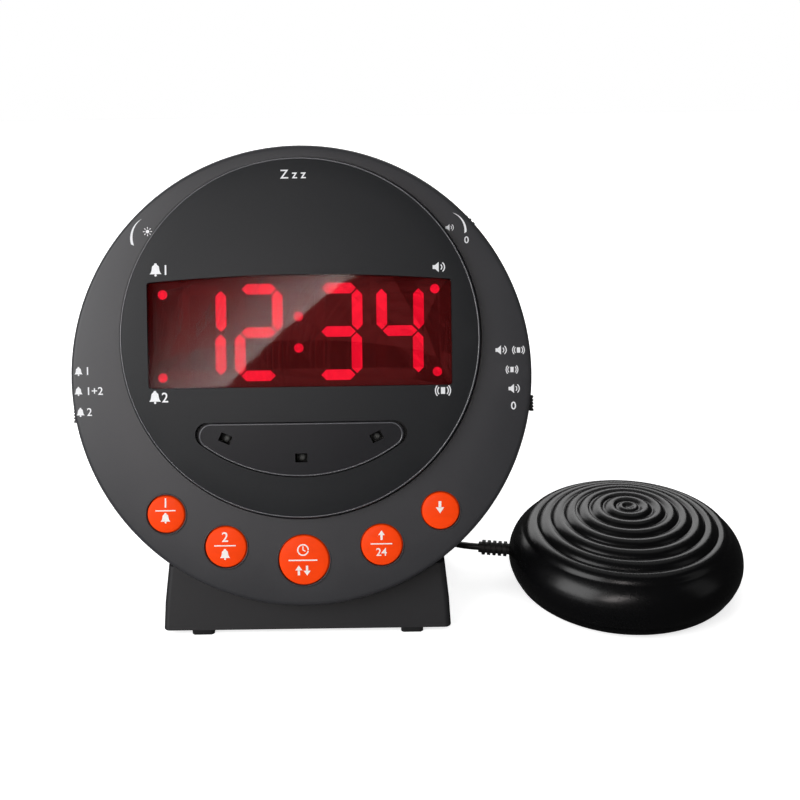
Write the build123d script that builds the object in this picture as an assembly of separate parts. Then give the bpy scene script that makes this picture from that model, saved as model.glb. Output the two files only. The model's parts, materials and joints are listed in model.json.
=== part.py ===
"""Bed shaker alarm clock: a round tilted clock on a stand, with a vibrating pad on a lead.

Millimetres, +Z up, +Y towards the back. The origin is on the table under the middle of the clock and
the shaker together. Pieces of the clock are drawn in the face's own frame, with its origin at the
middle of the front ring, X to the right, Y up along the face and Z out of the face, and are then
placed. Pieces of the stand, the shaker and its lead are drawn straight in the frame of the part.
"""

import math
import os

from build123d import *

# Fits shared by every sub-part
FIT_GAP = 0.2
TRIM_GAP = 0.35
RUNNING_GAP = 0.05
MOVING_GAP = 0.3
OVERRUN = 1.0

# Attitude and place of the clock
FACE_TILT = 22.0
FACE_HEIGHT = 80.5
RING_RADIUS = 72.5

# Front ring
RING_WALL = 2.4
RING_DEPTH = 16.0
RING_CROWN = 2.0
RING_EDGE_ROUND = 1.6
RING_SIDE_WALL = 2.4

# Face disc
DISC_RAISE = 12.0
DISC_RADIUS = 56.4
DISC_RIM_PROUD = 2.9
DISC_CROWN_PROUD = 6.2
DISC_WALL = 2.2
DISC_EDGE_ROUND = 0.8
DISC_FLANGE_WIDTH = 1.4
DISC_FLANGE_THICKNESS = 2.0
DISC_PAD_MARGIN = 4.0

# Display window, lens and module
WINDOW_WIDTH = 94.2
WINDOW_HEIGHT = 32.5
WINDOW_RAISE = 13.4
WINDOW_TOP_BOW = 1.9
WINDOW_CORNER_ROUND = 0.9
WINDOW_SEAT = 0.6
LENS_SET_BACK = 0.3
LENS_FLANGE_WIDTH = 2.5
LENS_FLANGE_THICKNESS = 1.5
MODULE_DEPTH = 7.0
MODULE_MARGIN = 0.6
MODULE_PIN_RADIUS = 0.35
MODULE_PIN_COUNT = 12
MODULE_PIN_PITCH = 7.0
MODULE_PIN_ROW = 12.0

# Digits of the display
SEGMENT_WIDTH = 3.3
SEGMENT_THICKNESS = 0.8
SEGMENT_CLEARANCE = 0.05
DIGIT_WIDTH = 11.6
DIGIT_HEIGHT = 27.2
DIGIT_LEAN_SHARE = 0.02
DIGIT_PLACES = (-30.9, -13.2, 11.9, 31.2)
DIGIT_BASE = 0.7
SEGMENT_BREAK = 0.4
COLON_PLACES = ((-0.7, 19.0), (-0.7, 9.1))
LAMP_PLACES = ((-43.2, 26.3), (-43.6, 0.2), (42.3, 27.1), (42.8, 1.1))
DOT_RADIUS = 1.45
SEGMENTS_OF_DIGITS = {1: "bc", 2: "abged", 3: "abgcd", 4: "fgbc"}
SHOWN_DIGITS = (1, 2, 3, 4)

# Alert light panel under the display
PANEL_TOP = -14.2
PANEL_BOTTOM = -30.9
PANEL_ARC_RADIUS = 51.9
PANEL_END_ROUND = 3.8
PANEL_SEAT = 2.0
PANEL_PROUD = 0.25
PANEL_PAD_BACK = 0.0
LED_WINDOW_WIDTH = 3.8
LED_WINDOW_HEIGHT = 2.8
LED_PLACES = ((-23.5, -18.8, -25.0), (0.0, -25.1, 0.0), (23.5, -18.8, 25.0))
LED_RADIUS = 1.25
LED_TOP_BELOW_FACE = 3.0
LED_FLANGE_RADIUS = 1.9
LED_FLANGE_THICKNESS = 1.0
LED_LEG_RADIUS = 0.25
LED_LEG_SPACING = 1.27
LED_BODY_HEIGHT = 5.0

# Front buttons
BUTTON_ARC_RADIUS = 69.6
BUTTON_NAMES = ("alarm_one_button", "alarm_two_button", "time_button", "up_button", "down_button")
BUTTON_ANGLES = (-38.3, -20.6, 0.0, 20.6, 38.3)
BUTTON_RADII = (5.8, 6.4, 7.8, 6.4, 5.8)
BUTTON_PROUD = 1.0
BUTTON_CROWN = 0.5
BUTTON_EDGE_ROUND = 0.5
BUTTON_FLANGE_WIDTH = 1.0
BUTTON_FLANGE_THICKNESS = 1.4
BUTTON_STEM_RADIUS = 2.2
BUTTON_STEM_LENGTH = 1.6
BUTTON_TRAVEL = 1.0
SWITCH_SIDE = 6.0
SWITCH_BODY_HEIGHT = 3.4
SWITCH_PLUNGER_RADIUS = 1.6
SWITCH_PLUNGER_HEIGHT = 0.8
SWITCH_PRESSED_GAP = 0.2
BUTTON_BOARD_THICKNESS = 1.4
BUTTON_BOARD_HALF_WIDTH = 5.6
BUTTON_BOARD_REACH = 44.0
BUTTON_POST_ANGLES = (-29.8, -10.9, 10.9, 29.8)
BUTTON_POST_RADIUS = 2.1
SMALL_SCREW_RADIUS = 0.9
SMALL_SCREW_HEAD_RADIUS = 1.9
SMALL_SCREW_HEAD_HEIGHT = 1.1
SMALL_SCREW_LENGTH = 5.5
PILOT_CLEARANCE = 0.05

# Rear case
CASE_STEP = 1.0
CASE_WALL = 2.3
CASE_SIDE_DEPTH = 2.0
CASE_ROUND = 28.0
LIP_WALL = 2.0
LIP_REACH = 3.0
LIP_ROOT = 1.6

# Screws between the rear case and the front ring
CASE_SCREW_ANGLES = (15.0, 165.0, 205.0, 335.0)
CASE_SCREW_CIRCLE = 64.0
CASE_SCREW_RADIUS = 1.45
CASE_SCREW_HEAD_RADIUS = 2.8
CASE_SCREW_HEAD_HEIGHT = 2.0
CASE_SCREW_GRIP = 8.0
CASE_SCREW_BITE = 8.0
RING_BOSS_RADIUS = 3.2
CASE_BOSS_RADIUS = 4.3
DRIVE_RECESS_WIDTH = 0.9
DRIVE_RECESS_LENGTH = 3.2
DRIVE_RECESS_DEPTH = 0.9

# Main board
BOARD_RADIUS = 59.0
BOARD_THICKNESS = 1.6
BOARD_DROP = 16.4
BOARD_EAR_HALF_WIDTH = 66.3
BOARD_EAR_LOW = -13.0
BOARD_EAR_HIGH = 10.0
BOARD_EAR_RADIUS = 6.0
BOARD_LIMIT_RADIUS = 67.4
BOARD_POST_PLACES = ((-40.0, -22.0), (40.0, -22.0), (-30.0, 44.0), (30.0, 44.0))
BOARD_POST_RADIUS = 3.0
CHIP_SIDE = 14.0
CHIP_HEIGHT = 2.2
CHIP_PLACE = (-12.0, -14.0)
CHIP_LEAD_COUNT = 8
CHIP_LEAD_PITCH = 1.5
CHIP_LEAD_WIDTH = 0.6
CHIP_LEAD_LENGTH = 1.6
CHIP_LEAD_HEIGHT = 0.5
CAPACITOR_PLACES = ((34.0, 0.0), (38.0, 14.0), (34.0, -32.0))
CAPACITOR_RADIUS = 3.2
CAPACITOR_HEIGHT = 7.0

# Dimmer and volume wheels
WHEEL_ANGLES = {"dimmer": 140.0, "volume": 42.0}
WHEEL_RADIUS = 9.5
WHEEL_THICKNESS = 3.0
WHEEL_PROUD = 1.2
WHEEL_DROP = 9.2
WHEEL_NOTCHES = 36
WHEEL_NOTCH_RADIUS = 0.45
WHEEL_SHAFT_RADIUS = 1.5
WHEEL_HUB_RECESS_RADIUS = 3.4
WHEEL_HUB_RECESS_DEPTH = 0.8
POTENTIOMETER_RADIUS = 3.4

# Slide switches on the sides of the ring
SLIDE_TRAVEL_STEPS = {"alarm_select": 2, "alert_mode": 3}
SLIDE_STEPS = {"alarm_select": 6.5, "alert_mode": 5.8}
SLIDE_SIDES = {"alarm_select": -1, "alert_mode": 1}
SLIDE_MIDDLES = {"alarm_select": -4.9, "alert_mode": -0.9}
SLIDE_BODY_IN = 58.6
SLIDE_BODY_OUT = 65.9
SLIDE_BODY_END = 3.0
SLIDE_BODY_FRONT = 8.0
SLIDE_STEM_WIDTH = 2.6
SLIDE_STEM_DEPTH = 2.6
SLIDE_STEM_MIDDLE = 10.2
SLIDE_CAP_WIDTH = 5.0
SLIDE_CAP_DEPTH = 4.6
SLIDE_CAP_PROUD = 1.0
SLIDE_RIB_COUNT = 4
SLIDE_RIB_WIDTH = 0.4
SLIDE_RIB_DEPTH = 0.3

# Snooze bar on top of the rear case
SNOOZE_HALF_WIDTH = 34.0
SNOOZE_FRONT = 21.0
SNOOZE_BACK = 36.0
SNOOZE_PROUD = 1.8
SNOOZE_TRAVEL = 1.5
SNOOZE_FLANGE = 1.4
SNOOZE_FLANGE_WALL = 1.8
SNOOZE_END_GAP = 0.4
SNOOZE_EDGE_ROUND = 0.8
SNOOZE_POST_WIDTH = 4.0
SNOOZE_POST_DEPTH = 3.0
SNOOZE_SWITCH_SIDE = 6.0
SNOOZE_SWITCH_HEIGHT = 4.0
SNOOZE_SWITCH_TOP = 56.0
SNOOZE_BOARD_WIDTH = 12.0
SNOOZE_BOARD_HEIGHT = 14.0

# Back-up battery, its bay, clip and door
BATTERY_LENGTH = 46.4
BATTERY_WIDTH = 26.2
BATTERY_THICKNESS = 17.2
BATTERY_ROUND = 2.0
TERMINAL_RADIUS = 2.8
TERMINAL_HEIGHT = 2.0
TERMINAL_SPACING = 12.7
CLIP_THICKNESS = 3.0
BAY_RAISE = 12.5
BAY_WALL = 1.5
BAY_CLEARANCE = 0.4
DOOR_MARGIN = 1.5
DOOR_THICKNESS = 1.8
DOOR_GRIP_RIBS = 5
DOOR_GRIP_PITCH = 2.2
DOOR_GRIP_WIDTH = 18.0
DOOR_GRIP_HEIGHT = 0.5
DOOR_GRIP_THICK = 0.8

# Speaker and its grille
SPEAKER_PLACE = (-20.0, -20.0)
SPEAKER_RADIUS = 14.0
SPEAKER_RIM_THICKNESS = 1.6
SPEAKER_BASKET_DEPTH = 6.0
SPEAKER_MAGNET_RADIUS = 7.5
SPEAKER_MAGNET_HEIGHT = 4.0
SPEAKER_CONE_RADIUS = 12.4
SPEAKER_CONE_DEPTH = 4.0
SPEAKER_CONE_WALL = 0.5
SPEAKER_CAP_RADIUS = 4.0
SPEAKER_RETAINER_WALL = 1.2
SPEAKER_RETAINER_HEIGHT = 2.4
GRILLE_HOLE_RADIUS = 1.1
GRILLE_RING_PITCH = 3.6
GRILLE_RINGS = 3
GRILLE_HOLES_PER_RING = 6

# Power inlet
INLET_PLACE = (21.0, -24.0)
INLET_WIDTH = 9.0
INLET_HEIGHT = 11.0
INLET_DEPTH = 13.0
INLET_NOSE_RADIUS = 4.2
INLET_BORE_RADIUS = 2.9
INLET_BORE_DEPTH = 10.0
INLET_PIN_RADIUS = 1.0
INLET_PIN_SET_BACK = 1.0

# Stand
STAND_SET_BACK = 8.0
STAND_FRONT_TOP = -60.7
STAND_HALF_WIDTH = 46.9
STAND_DRAFT_SHARE = 0.125
STAND_REAR_HALF_WIDTH = 36.0
STAND_REAR = 46.0
STAND_REAR_HEIGHT = 25.0
STAND_WALL = 2.2
STAND_EDGE_ROUND = 2.0
CRADLE_GAP = 0.1
COVER_THICKNESS = 2.0
FOOT_HEIGHT = 2.0
FOOT_WIDTH = 7.2
FOOT_DEPTH = 6.0
FOOT_ROUND = 1.2
FOOT_PLACE = 33.8
FOOT_INSET = 0.4
REAR_FOOT_PLACE = 27.0
STAND_POST_PLACE = (33.0, 4.0)
STAND_POST_RADIUS = 4.0
STAND_SCREW_RADIUS = 1.45
STAND_SCREW_HEAD_RADIUS = 2.7
STAND_SCREW_HEAD_HEIGHT = 2.0
STAND_SCREW_RECESS = 3.0
STAND_SCREW_BITE = 7.0
CASE_FOOT_BOSS_RADIUS = 3.6
COVER_POST_PLACES = ((39.0, -13.0), (32.0, 37.0))
COVER_POST_RADIUS = 3.0
COVER_POST_HEIGHT = 10.0
STAND_RIB_THICKNESS = 2.0
COVER_SCREW_RADIUS = 1.2
COVER_SCREW_HEAD_RADIUS = 2.3
COVER_SCREW_HEAD_HEIGHT = 1.2
COVER_SCREW_LENGTH = 8.0

# Shaker jack in the back of the stand, and the plug in it
JACK_PLACE = 20.0
JACK_HEIGHT = 11.5
JACK_SIDE = 8.0
JACK_DEPTH = 14.0
JACK_NOSE_RADIUS = 3.4
PLUG_PIN_RADIUS = 1.75
PLUG_PIN_LENGTH = 12.0
PLUG_TIP_RADIUS = 1.2
PLUG_TIP_LENGTH = 1.5
PLUG_GRIP_RADIUS = 4.2
PLUG_GRIP_LENGTH = 13.0
PLUG_GRIP_ROUND = 1.0
PLUG_TAIL_RADIUS = 2.3
PLUG_TAIL_LENGTH = 8.0
PLUG_RIB_COUNT = 4
PLUG_RIB_HEIGHT = 0.3
PLUG_RIB_WIDTH = 0.8

# Shaker
SHAKER_REACH = 107.0
SHAKER_SET_BACK = 7.0
SHAKER_RADIUS = 39.5
SHAKER_WALL = 2.2
SHAKER_BULGE_HEIGHT = 10.0
SHAKER_SPLIT_HEIGHT = 4.8
SHAKER_SPLIT_RADIUS = 38.2
SHAKER_SPLIT_GAP = 0.5
SHAKER_SPLIT_INSET = 0.5
SHAKER_BASE_RADIUS = 33.0
SHAKER_BASE_HEIGHT = 0.8
SHAKER_SHOULDER_RADIUS = 34.6
SHAKER_SHOULDER_HEIGHT = 19.5
RIPPLE_COUNT = 7
RIPPLE_CENTRE_RADIUS = 3.7
RIPPLE_DOME_DROP = 9.0
RIPPLE_RISE = 1.0
BOSS_RIM_RADIUS = 2.5
BOSS_LIP_RADIUS = 1.4
BOSS_RISE = 0.7
BOSS_DIMPLE = 0.4
SHAKER_LIP_WALL = 1.6
SHAKER_LIP_HEIGHT = 3.0
SHAKER_FLOOR = 2.0
PAD_INNER_RADIUS = 24.0
PAD_OUTER_RADIUS = 31.0
PAD_THICKNESS = 1.4
SHAKER_SCREW_CIRCLE = 28.0
SHAKER_SCREW_ANGLES = (60.0, 200.0, 300.0)
SHAKER_SCREW_RADIUS = 1.25
SHAKER_SCREW_HEAD_RADIUS = 2.4
SHAKER_SCREW_HEAD_HEIGHT = 1.6
SHAKER_SCREW_BITE = 5.0
SHAKER_BOSS_RADIUS = 3.4
SHAKER_BOSS_GAP_HEIGHT = 6.0

# Shaker motor and its eccentric weight
MOTOR_RADIUS = 8.6
MOTOR_LENGTH = 22.0
MOTOR_START = -17.0
MOTOR_HEIGHT = 13.4
MOTOR_END_RADIUS = 3.4
MOTOR_END_LENGTH = 1.4
SHAFT_RADIUS = 1.0
SHAFT_DEPTH_IN_MOTOR = 6.0
WEIGHT_RADIUS = 8.4
WEIGHT_THICKNESS = 7.0
WEIGHT_GAP = 0.6
WEIGHT_HUB_RADIUS = 2.6
BRACKET_LENGTH = 16.0
BRACKET_BELOW_AXIS = 2.4
STRAP_THICKNESS = 1.2
STRAP_WIDTH = 6.4
STRAP_EAR = 5.6

# Strain relief at the shaker
RELIEF_HEADING = 170.0
RELIEF_HEIGHT = 8.6
RELIEF_LENGTH = 10.6
RELIEF_CORE_RADIUS = 1.9
RELIEF_RIB_RADIUS = 2.6
RELIEF_RIB_COUNT = 5
RELIEF_RIB_SHARE = 0.55
RELIEF_TIP_LENGTH = 1.2
RELIEF_COLLAR_RADIUS = 3.4
RELIEF_COLLAR_THICKNESS = 1.5

# Lead of the shaker: its route, from the table under the ring's middle, and the coil of the rest
CORD_DIAMETER = 2.4
CORD_ROUTE = (
    (53.2, 16.5, 8.6),
    (49.1, 18.81, 8.2),
    (45.9, 22.51, 7.1),
    (43.6, 28.21, 5.2),
    (42.6, 37.41, 2.6),
    (40.9, 49.91, 1.3),
    (34.8, 62.91, 1.25),
    (24.0, 72.31, 1.6),
    (10.0, 75.11, 2.35),
)
PLUG_ROUTE = (
    (18.55, 86.91, 11.35),
    (20.0, 76.91, 11.5),
)
COIL_PLACE = (-3.0, 95.91)
CORD_ARC_SHARE = 0.45
COIL_LIFT = 1.15
COIL_START_ANGLE = -90.0
COIL_LAYERS = 4
COIL_HALF_TURNS_IN_LAYER = 9
COIL_OUTER_RADIUS = 20.8
COIL_PITCH = 3.0
COIL_LAYER_STEP = 3.0
COIL_REVERSAL_STEP = 0.5
TIE_WIDTH = 3.0
TIE_THICKNESS = 0.7
TIE_GAP = 0.3
TIE_ROUND = 1.5

# Derived places
TILT = math.radians(FACE_TILT)
CASE_RADIUS = RING_RADIUS - CASE_STEP
CASE_DEPTH = RING_DEPTH + CASE_SIDE_DEPTH + CASE_ROUND
CASE_FLAT_RADIUS = CASE_RADIUS - CASE_ROUND
LEFT_REACH = RING_RADIUS + FIT_GAP + SLIDE_CAP_PROUD
FRONT_REACH = max(RING_RADIUS * math.sin(TILT), SHAKER_RADIUS - SHAKER_SET_BACK)
REAR_REACH = (CASE_FLAT_RADIUS * math.sin(TILT) + (RING_DEPTH + CASE_SIDE_DEPTH) * math.cos(TILT)
              + CASE_ROUND)
CLOCK_X = (LEFT_REACH - SHAKER_REACH - SHAKER_RADIUS) / 2
CLOCK_Y = (FRONT_REACH - REAR_REACH) / 2
COIL_CENTRE = (CLOCK_X + COIL_PLACE[0], CLOCK_Y + COIL_PLACE[1])
SHAKER_X = CLOCK_X + SHAKER_REACH
SHAKER_Y = CLOCK_Y + SHAKER_SET_BACK
FACE = Plane(origin=(CLOCK_X, CLOCK_Y, FACE_HEIGHT), x_dir=(1, 0, 0),
             z_dir=(0, -math.cos(TILT), math.sin(TILT)))


# Helpers for the face's own frame

def box_between(low, high):
    """A box from its low corner to its high corner."""
    size = [b - a for a, b in zip(low, high)]
    middle = [(a + b) / 2 for a, b in zip(low, high)]
    return Pos(*middle) * Box(*size)


def rod(radius, low, high, at=(0, 0)):
    """A cylinder along Z from low to high."""
    return Pos(at[0], at[1], (low + high) / 2) * Cylinder(radius, high - low)


def pipe(outer, inner, low, high, at=(0, 0)):
    """A tube along Z from low to high."""
    return rod(outer, low, high, at) - rod(inner, low - OVERRUN, high + OVERRUN, at)


def prism(face, low, high):
    """A flat face drawn on XY, made solid from low to high."""
    return Pos(0, 0, low) * extrude(face, amount=high - low)


def turned(outline):
    """A solid turned about Z from an outline drawn as radius and height."""
    return revolve(Plane.XZ * make_face(outline), axis=Axis.Z)


def on_circle(radius, degrees, about=(0, 0)):
    """The point on a circle at an angle from +X."""
    turn = math.radians(degrees)
    return (about[0] + radius * math.cos(turn), about[1] + radius * math.sin(turn))


def domed_drum(radius, base, rim, crown):
    """A drum with a flat back, a straight side up to the rim and a domed front."""
    edges = [Line((0, base), (radius, base)), Line((radius, base), (radius, rim)),
             TangentArc((0, crown), (radius, rim), tangent=(1, 0)), Line((0, crown), (0, base))]
    return turned(edges)


def top_rim(shape):
    """The highest of a drum's flat round edges."""
    rounds = shape.edges().filter_by(GeomType.CIRCLE)
    return rounds.filter_by(lambda edge: abs(edge.normal().Z) > 1 / 2).sort_by(Axis.Z)[-1]


def placed(shape):
    """Move a solid from the face's own frame to the frame of the part."""
    return FACE.location * shape


def cross_screw(radius, head_radius, head_height, length):
    """A screw with its head's top at zero, pointing down Z, with a cross recess."""
    screw = rod(head_radius, -head_height, 0) + rod(radius, -head_height - length, -head_height)
    recess = Box(DRIVE_RECESS_LENGTH, DRIVE_RECESS_WIDTH, 2 * DRIVE_RECESS_DEPTH)
    return screw - recess - Rot(0, 0, 90) * recess


# Forms of the clock's shells

def case_form(grow):
    """The rear case's outer form, grown or shrunk by a distance."""
    side = CASE_RADIUS + grow
    bend = CASE_ROUND + grow
    front = -RING_DEPTH
    start = -(RING_DEPTH + CASE_SIDE_DEPTH)
    back = start - bend
    edges = [Line((0, front), (side, front)), Line((side, front), (side, start)),
             TangentArc((side, start), (side - bend, back), tangent=(0, -1)),
             Line((side - bend, back), (0, back)), Line((0, back), (0, front))]
    return turned(edges)


def drum_form(grow):
    """The whole body that the stand carries, grown by a distance."""
    return rod(RING_RADIUS + grow, -RING_DEPTH - grow, OVERRUN + grow) + case_form(grow)


def window_face(margin):
    """The display window's outline, grown by a margin."""
    half = WINDOW_WIDTH / 2 + margin
    low = WINDOW_RAISE - WINDOW_HEIGHT / 2 - margin
    high = WINDOW_RAISE + WINDOW_HEIGHT / 2 + margin
    edges = [Line((-half, low), (half, low)), Line((half, low), (half, high)),
             ThreePointArc((half, high), (0, high + WINDOW_TOP_BOW), (-half, high)),
             Line((-half, high), (-half, low))]
    face = make_face(edges)
    return fillet(face.vertices(), WINDOW_CORNER_ROUND)


def panel_face(margin):
    """The light panel's outline: a straight top over an arc, with rounded ends."""
    radius = PANEL_ARC_RADIUS + margin
    top = PANEL_TOP + margin
    centre = PANEL_BOTTOM + PANEL_ARC_RADIUS
    half = math.sqrt(radius ** 2 - (centre - top) ** 2)
    edges = [Line((-half, top), (half, top)),
             ThreePointArc((half, top), (0, centre - radius), (-half, top))]
    face = make_face(edges)
    return fillet(face.vertices(), PANEL_END_ROUND)


# Derived heights of the front, in the face's own frame
DISC_CENTRE = (0, DISC_RAISE)
PLATE_BACK = -RING_WALL
DISC_HOLE_RADIUS = DISC_RADIUS + TRIM_GAP
LIP_OUTER = RING_RADIUS - RING_SIDE_WALL - FIT_GAP
BOARD_BACK = -(BOARD_DROP + BOARD_THICKNESS)
BUTTON_PLACES = [on_circle(BUTTON_ARC_RADIUS, angle - 90, DISC_CENTRE) for angle in BUTTON_ANGLES]
BUTTON_FLANGE_BACK = PLATE_BACK - BUTTON_FLANGE_THICKNESS
BUTTON_STEM_BACK = BUTTON_FLANGE_BACK - BUTTON_STEM_LENGTH
PLUNGER_TOP = BUTTON_STEM_BACK - BUTTON_TRAVEL - SWITCH_PRESSED_GAP
SWITCH_TOP = PLUNGER_TOP - SWITCH_PLUNGER_HEIGHT
BUTTON_BOARD_FRONT = SWITCH_TOP - SWITCH_BODY_HEIGHT
BUTTON_POST_PLACES = [on_circle(BUTTON_ARC_RADIUS, angle - 90, DISC_CENTRE)
                      for angle in BUTTON_POST_ANGLES]
WHEEL_CIRCLE = RING_RADIUS + WHEEL_PROUD - WHEEL_RADIUS
WHEEL_PLACES = {name: on_circle(WHEEL_CIRCLE, angle) for name, angle in WHEEL_ANGLES.items()}
WHEEL_BACK = -(WHEEL_DROP + WHEEL_THICKNESS)
CASE_SCREW_PLACES = [on_circle(CASE_SCREW_CIRCLE, angle) for angle in CASE_SCREW_ANGLES]
CASE_SCREW_SEAT = -(RING_DEPTH + CASE_SCREW_GRIP)


def ring_surface(radius):
    """Height of the ring's front at a radius from its middle."""
    return RING_CROWN * (1 - (radius / RING_RADIUS) ** 2)


def slide_travel(name):
    """Whole travel of a slide switch."""
    return SLIDE_STEPS[name] * SLIDE_TRAVEL_STEPS[name]


# Front ring, with its holes for the disc, the buttons, the wheels and the slide switches

def front_ring():
    shell = domed_drum(RING_RADIUS, -RING_DEPTH, 0, RING_CROWN)
    shell = fillet(top_rim(shell), RING_EDGE_ROUND)
    shell -= rod(RING_RADIUS - RING_SIDE_WALL, -RING_DEPTH - OVERRUN, PLATE_BACK)
    for place in CASE_SCREW_PLACES:
        shell += rod(RING_BOSS_RADIUS, -RING_DEPTH, PLATE_BACK, place)
        shell -= rod(CASE_SCREW_RADIUS + PILOT_CLEARANCE, -RING_DEPTH - OVERRUN,
                     -RING_DEPTH + CASE_SCREW_BITE + FIT_GAP, place)
    for place in BUTTON_POST_PLACES:
        shell += rod(BUTTON_POST_RADIUS, BUTTON_BOARD_FRONT, PLATE_BACK, place)
        shell -= rod(SMALL_SCREW_RADIUS + PILOT_CLEARANCE, BUTTON_BOARD_FRONT - OVERRUN,
                     BUTTON_BOARD_FRONT - BUTTON_BOARD_THICKNESS + SMALL_SCREW_LENGTH + FIT_GAP, place)
    shell -= rod(DISC_HOLE_RADIUS, PLATE_BACK - OVERRUN, RING_CROWN + OVERRUN, DISC_CENTRE)
    for radius, place in zip(BUTTON_RADII, BUTTON_PLACES):
        shell -= rod(radius + TRIM_GAP, PLATE_BACK - OVERRUN, RING_CROWN + OVERRUN, place)
    for place in WHEEL_PLACES.values():
        shell -= rod(WHEEL_RADIUS + 2 * MOVING_GAP, WHEEL_BACK - MOVING_GAP, -WHEEL_DROP + MOVING_GAP,
                     place)
    for name, side in SLIDE_SIDES.items():
        shell -= slide_slot(name, side)
    return shell


def slide_slot(name, side):
    """The slot in the ring's wall that a slide switch's stem travels in."""
    reach = slide_travel(name) / 2 + SLIDE_STEM_WIDTH / 2 + MOVING_GAP
    middle = SLIDE_MIDDLES[name]
    depth = SLIDE_STEM_DEPTH / 2 + MOVING_GAP
    inner, outer = SLIDE_BODY_OUT, RING_RADIUS + OVERRUN
    low, high = sorted((side * inner, side * outer))
    return box_between((low, middle - reach, -SLIDE_STEM_MIDDLE - depth),
                       (high, middle + reach, -SLIDE_STEM_MIDDLE + depth))


# Face disc: a domed cap with seats for the lens and the light panel

def disc_dome(inset):
    """The disc's outer form, shrunk by an inset."""
    return Pos(*DISC_CENTRE, 0) * domed_drum(
        DISC_RADIUS - inset, PLATE_BACK - DISC_FLANGE_THICKNESS, DISC_RIM_PROUD - inset,
        DISC_CROWN_PROUD - inset)


def face_disc():
    whole = disc_dome(0)
    whole = fillet(top_rim(whole), DISC_EDGE_ROUND)
    hollow = Pos(0, 0, -OVERRUN) * disc_dome(DISC_WALL) + disc_dome(DISC_WALL)
    disc = whole - hollow
    flange_back = PLATE_BACK - DISC_FLANGE_THICKNESS
    disc += pipe(DISC_RADIUS + DISC_FLANGE_WIDTH, DISC_RADIUS - DISC_WALL, flange_back, PLATE_BACK,
                 DISC_CENTRE)
    crown = DISC_CROWN_PROUD + OVERRUN
    disc += whole & prism(window_face(DISC_PAD_MARGIN), WINDOW_SEAT, crown)
    disc += whole & prism(panel_face(DISC_PAD_MARGIN), PANEL_PAD_BACK, crown)
    for place in BOARD_POST_PLACES:
        disc += whole_post(place, whole)
        disc -= rod(SMALL_SCREW_RADIUS + PILOT_CLEARANCE, -BOARD_DROP - OVERRUN,
                    BOARD_BACK + SMALL_SCREW_LENGTH + FIT_GAP, place)
    disc -= prism(window_face(FIT_GAP), PLATE_BACK, crown)
    disc -= prism(panel_face(TRIM_GAP), PANEL_SEAT, crown)
    for across, up, turn in LED_PLACES:
        disc -= Pos(across, up, 0) * Rot(0, 0, turn) * box_between(
            (-LED_WINDOW_WIDTH / 2, -LED_WINDOW_HEIGHT / 2, PANEL_PAD_BACK - OVERRUN),
            (LED_WINDOW_WIDTH / 2, LED_WINDOW_HEIGHT / 2, crown))
    return disc


def whole_post(place, whole):
    """A post from the back of the disc's dome to the main board."""
    inside = whole & rod(BOARD_POST_RADIUS, PLATE_BACK, DISC_CROWN_PROUD, place)
    return rod(BOARD_POST_RADIUS, -BOARD_DROP, PLATE_BACK, place) + inside


def display_lens():
    """The red window: a flange behind the disc and a front that follows the dome."""
    dome = disc_dome(LENS_SET_BACK)
    front = dome & prism(window_face(0), WINDOW_SEAT - LENS_FLANGE_THICKNESS, DISC_CROWN_PROUD)
    back = prism(window_face(LENS_FLANGE_WIDTH), WINDOW_SEAT - LENS_FLANGE_THICKNESS, WINDOW_SEAT)
    return front + back


def alert_light_panel():
    """The dark panel under the display, with its three light openings."""
    dome = disc_dome(-PANEL_PROUD)
    panel = dome & prism(panel_face(0), PANEL_SEAT, DISC_CROWN_PROUD + OVERRUN)
    for across, up, turn in LED_PLACES:
        panel -= Pos(across, up, 0) * Rot(0, 0, turn) * box_between(
            (-LED_WINDOW_WIDTH / 2, -LED_WINDOW_HEIGHT / 2, PANEL_SEAT - OVERRUN),
            (LED_WINDOW_WIDTH / 2, LED_WINDOW_HEIGHT / 2, DISC_CROWN_PROUD + OVERRUN))
    return panel


# Display module with its digits

MODULE_FRONT = WINDOW_SEAT - LENS_FLANGE_THICKNESS


def bar_face(length, grow):
    """One segment lying along X: a bar with pointed ends."""
    half = length / 2 + grow
    wide = SEGMENT_WIDTH / 2 + grow
    points = [(-half, 0), (-half + wide, wide), (half - wide, wide), (half, 0),
              (half - wide, -wide), (-half + wide, -wide)]
    return make_face(Polyline(*points, close=True))


def digit_faces(place, grow):
    """The seven segments of one digit, by letter, as faces on XY."""
    half = DIGIT_HEIGHT / 2
    side = DIGIT_WIDTH / 2
    upright = half - 2 * SEGMENT_BREAK
    across = DIGIT_WIDTH - 2 * SEGMENT_BREAK
    middle = WINDOW_RAISE + DIGIT_BASE
    layout = {"a": (0, half, 0, across), "g": (0, 0, 0, across), "d": (0, -half, 0, across),
              "f": (-side, half / 2, 90, upright), "b": (side, half / 2, 90, upright),
              "e": (-side, -half / 2, 90, upright), "c": (side, -half / 2, 90, upright)}
    faces = {}
    for letter, (x, y, turn, length) in layout.items():
        lean = DIGIT_LEAN_SHARE * y
        faces[letter] = Pos(place + x + lean, middle + y) * Rot(0, 0, turn) * bar_face(length, grow)
    return faces


def dot_places():
    """The two dots of the colon and the four indicator lights."""
    return list(COLON_PLACES) + list(LAMP_PLACES)


def segment_solids(lit, grow=0.0, depth=SEGMENT_THICKNESS):
    """The lit or the unlit segments of the whole display."""
    solids = []
    for digit, place in zip(SHOWN_DIGITS, DIGIT_PLACES):
        for letter, face in digit_faces(place, grow).items():
            if (letter in SEGMENTS_OF_DIGITS[digit]) == lit:
                solids.append(prism(face, MODULE_FRONT - depth, MODULE_FRONT))
    return solids


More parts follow.
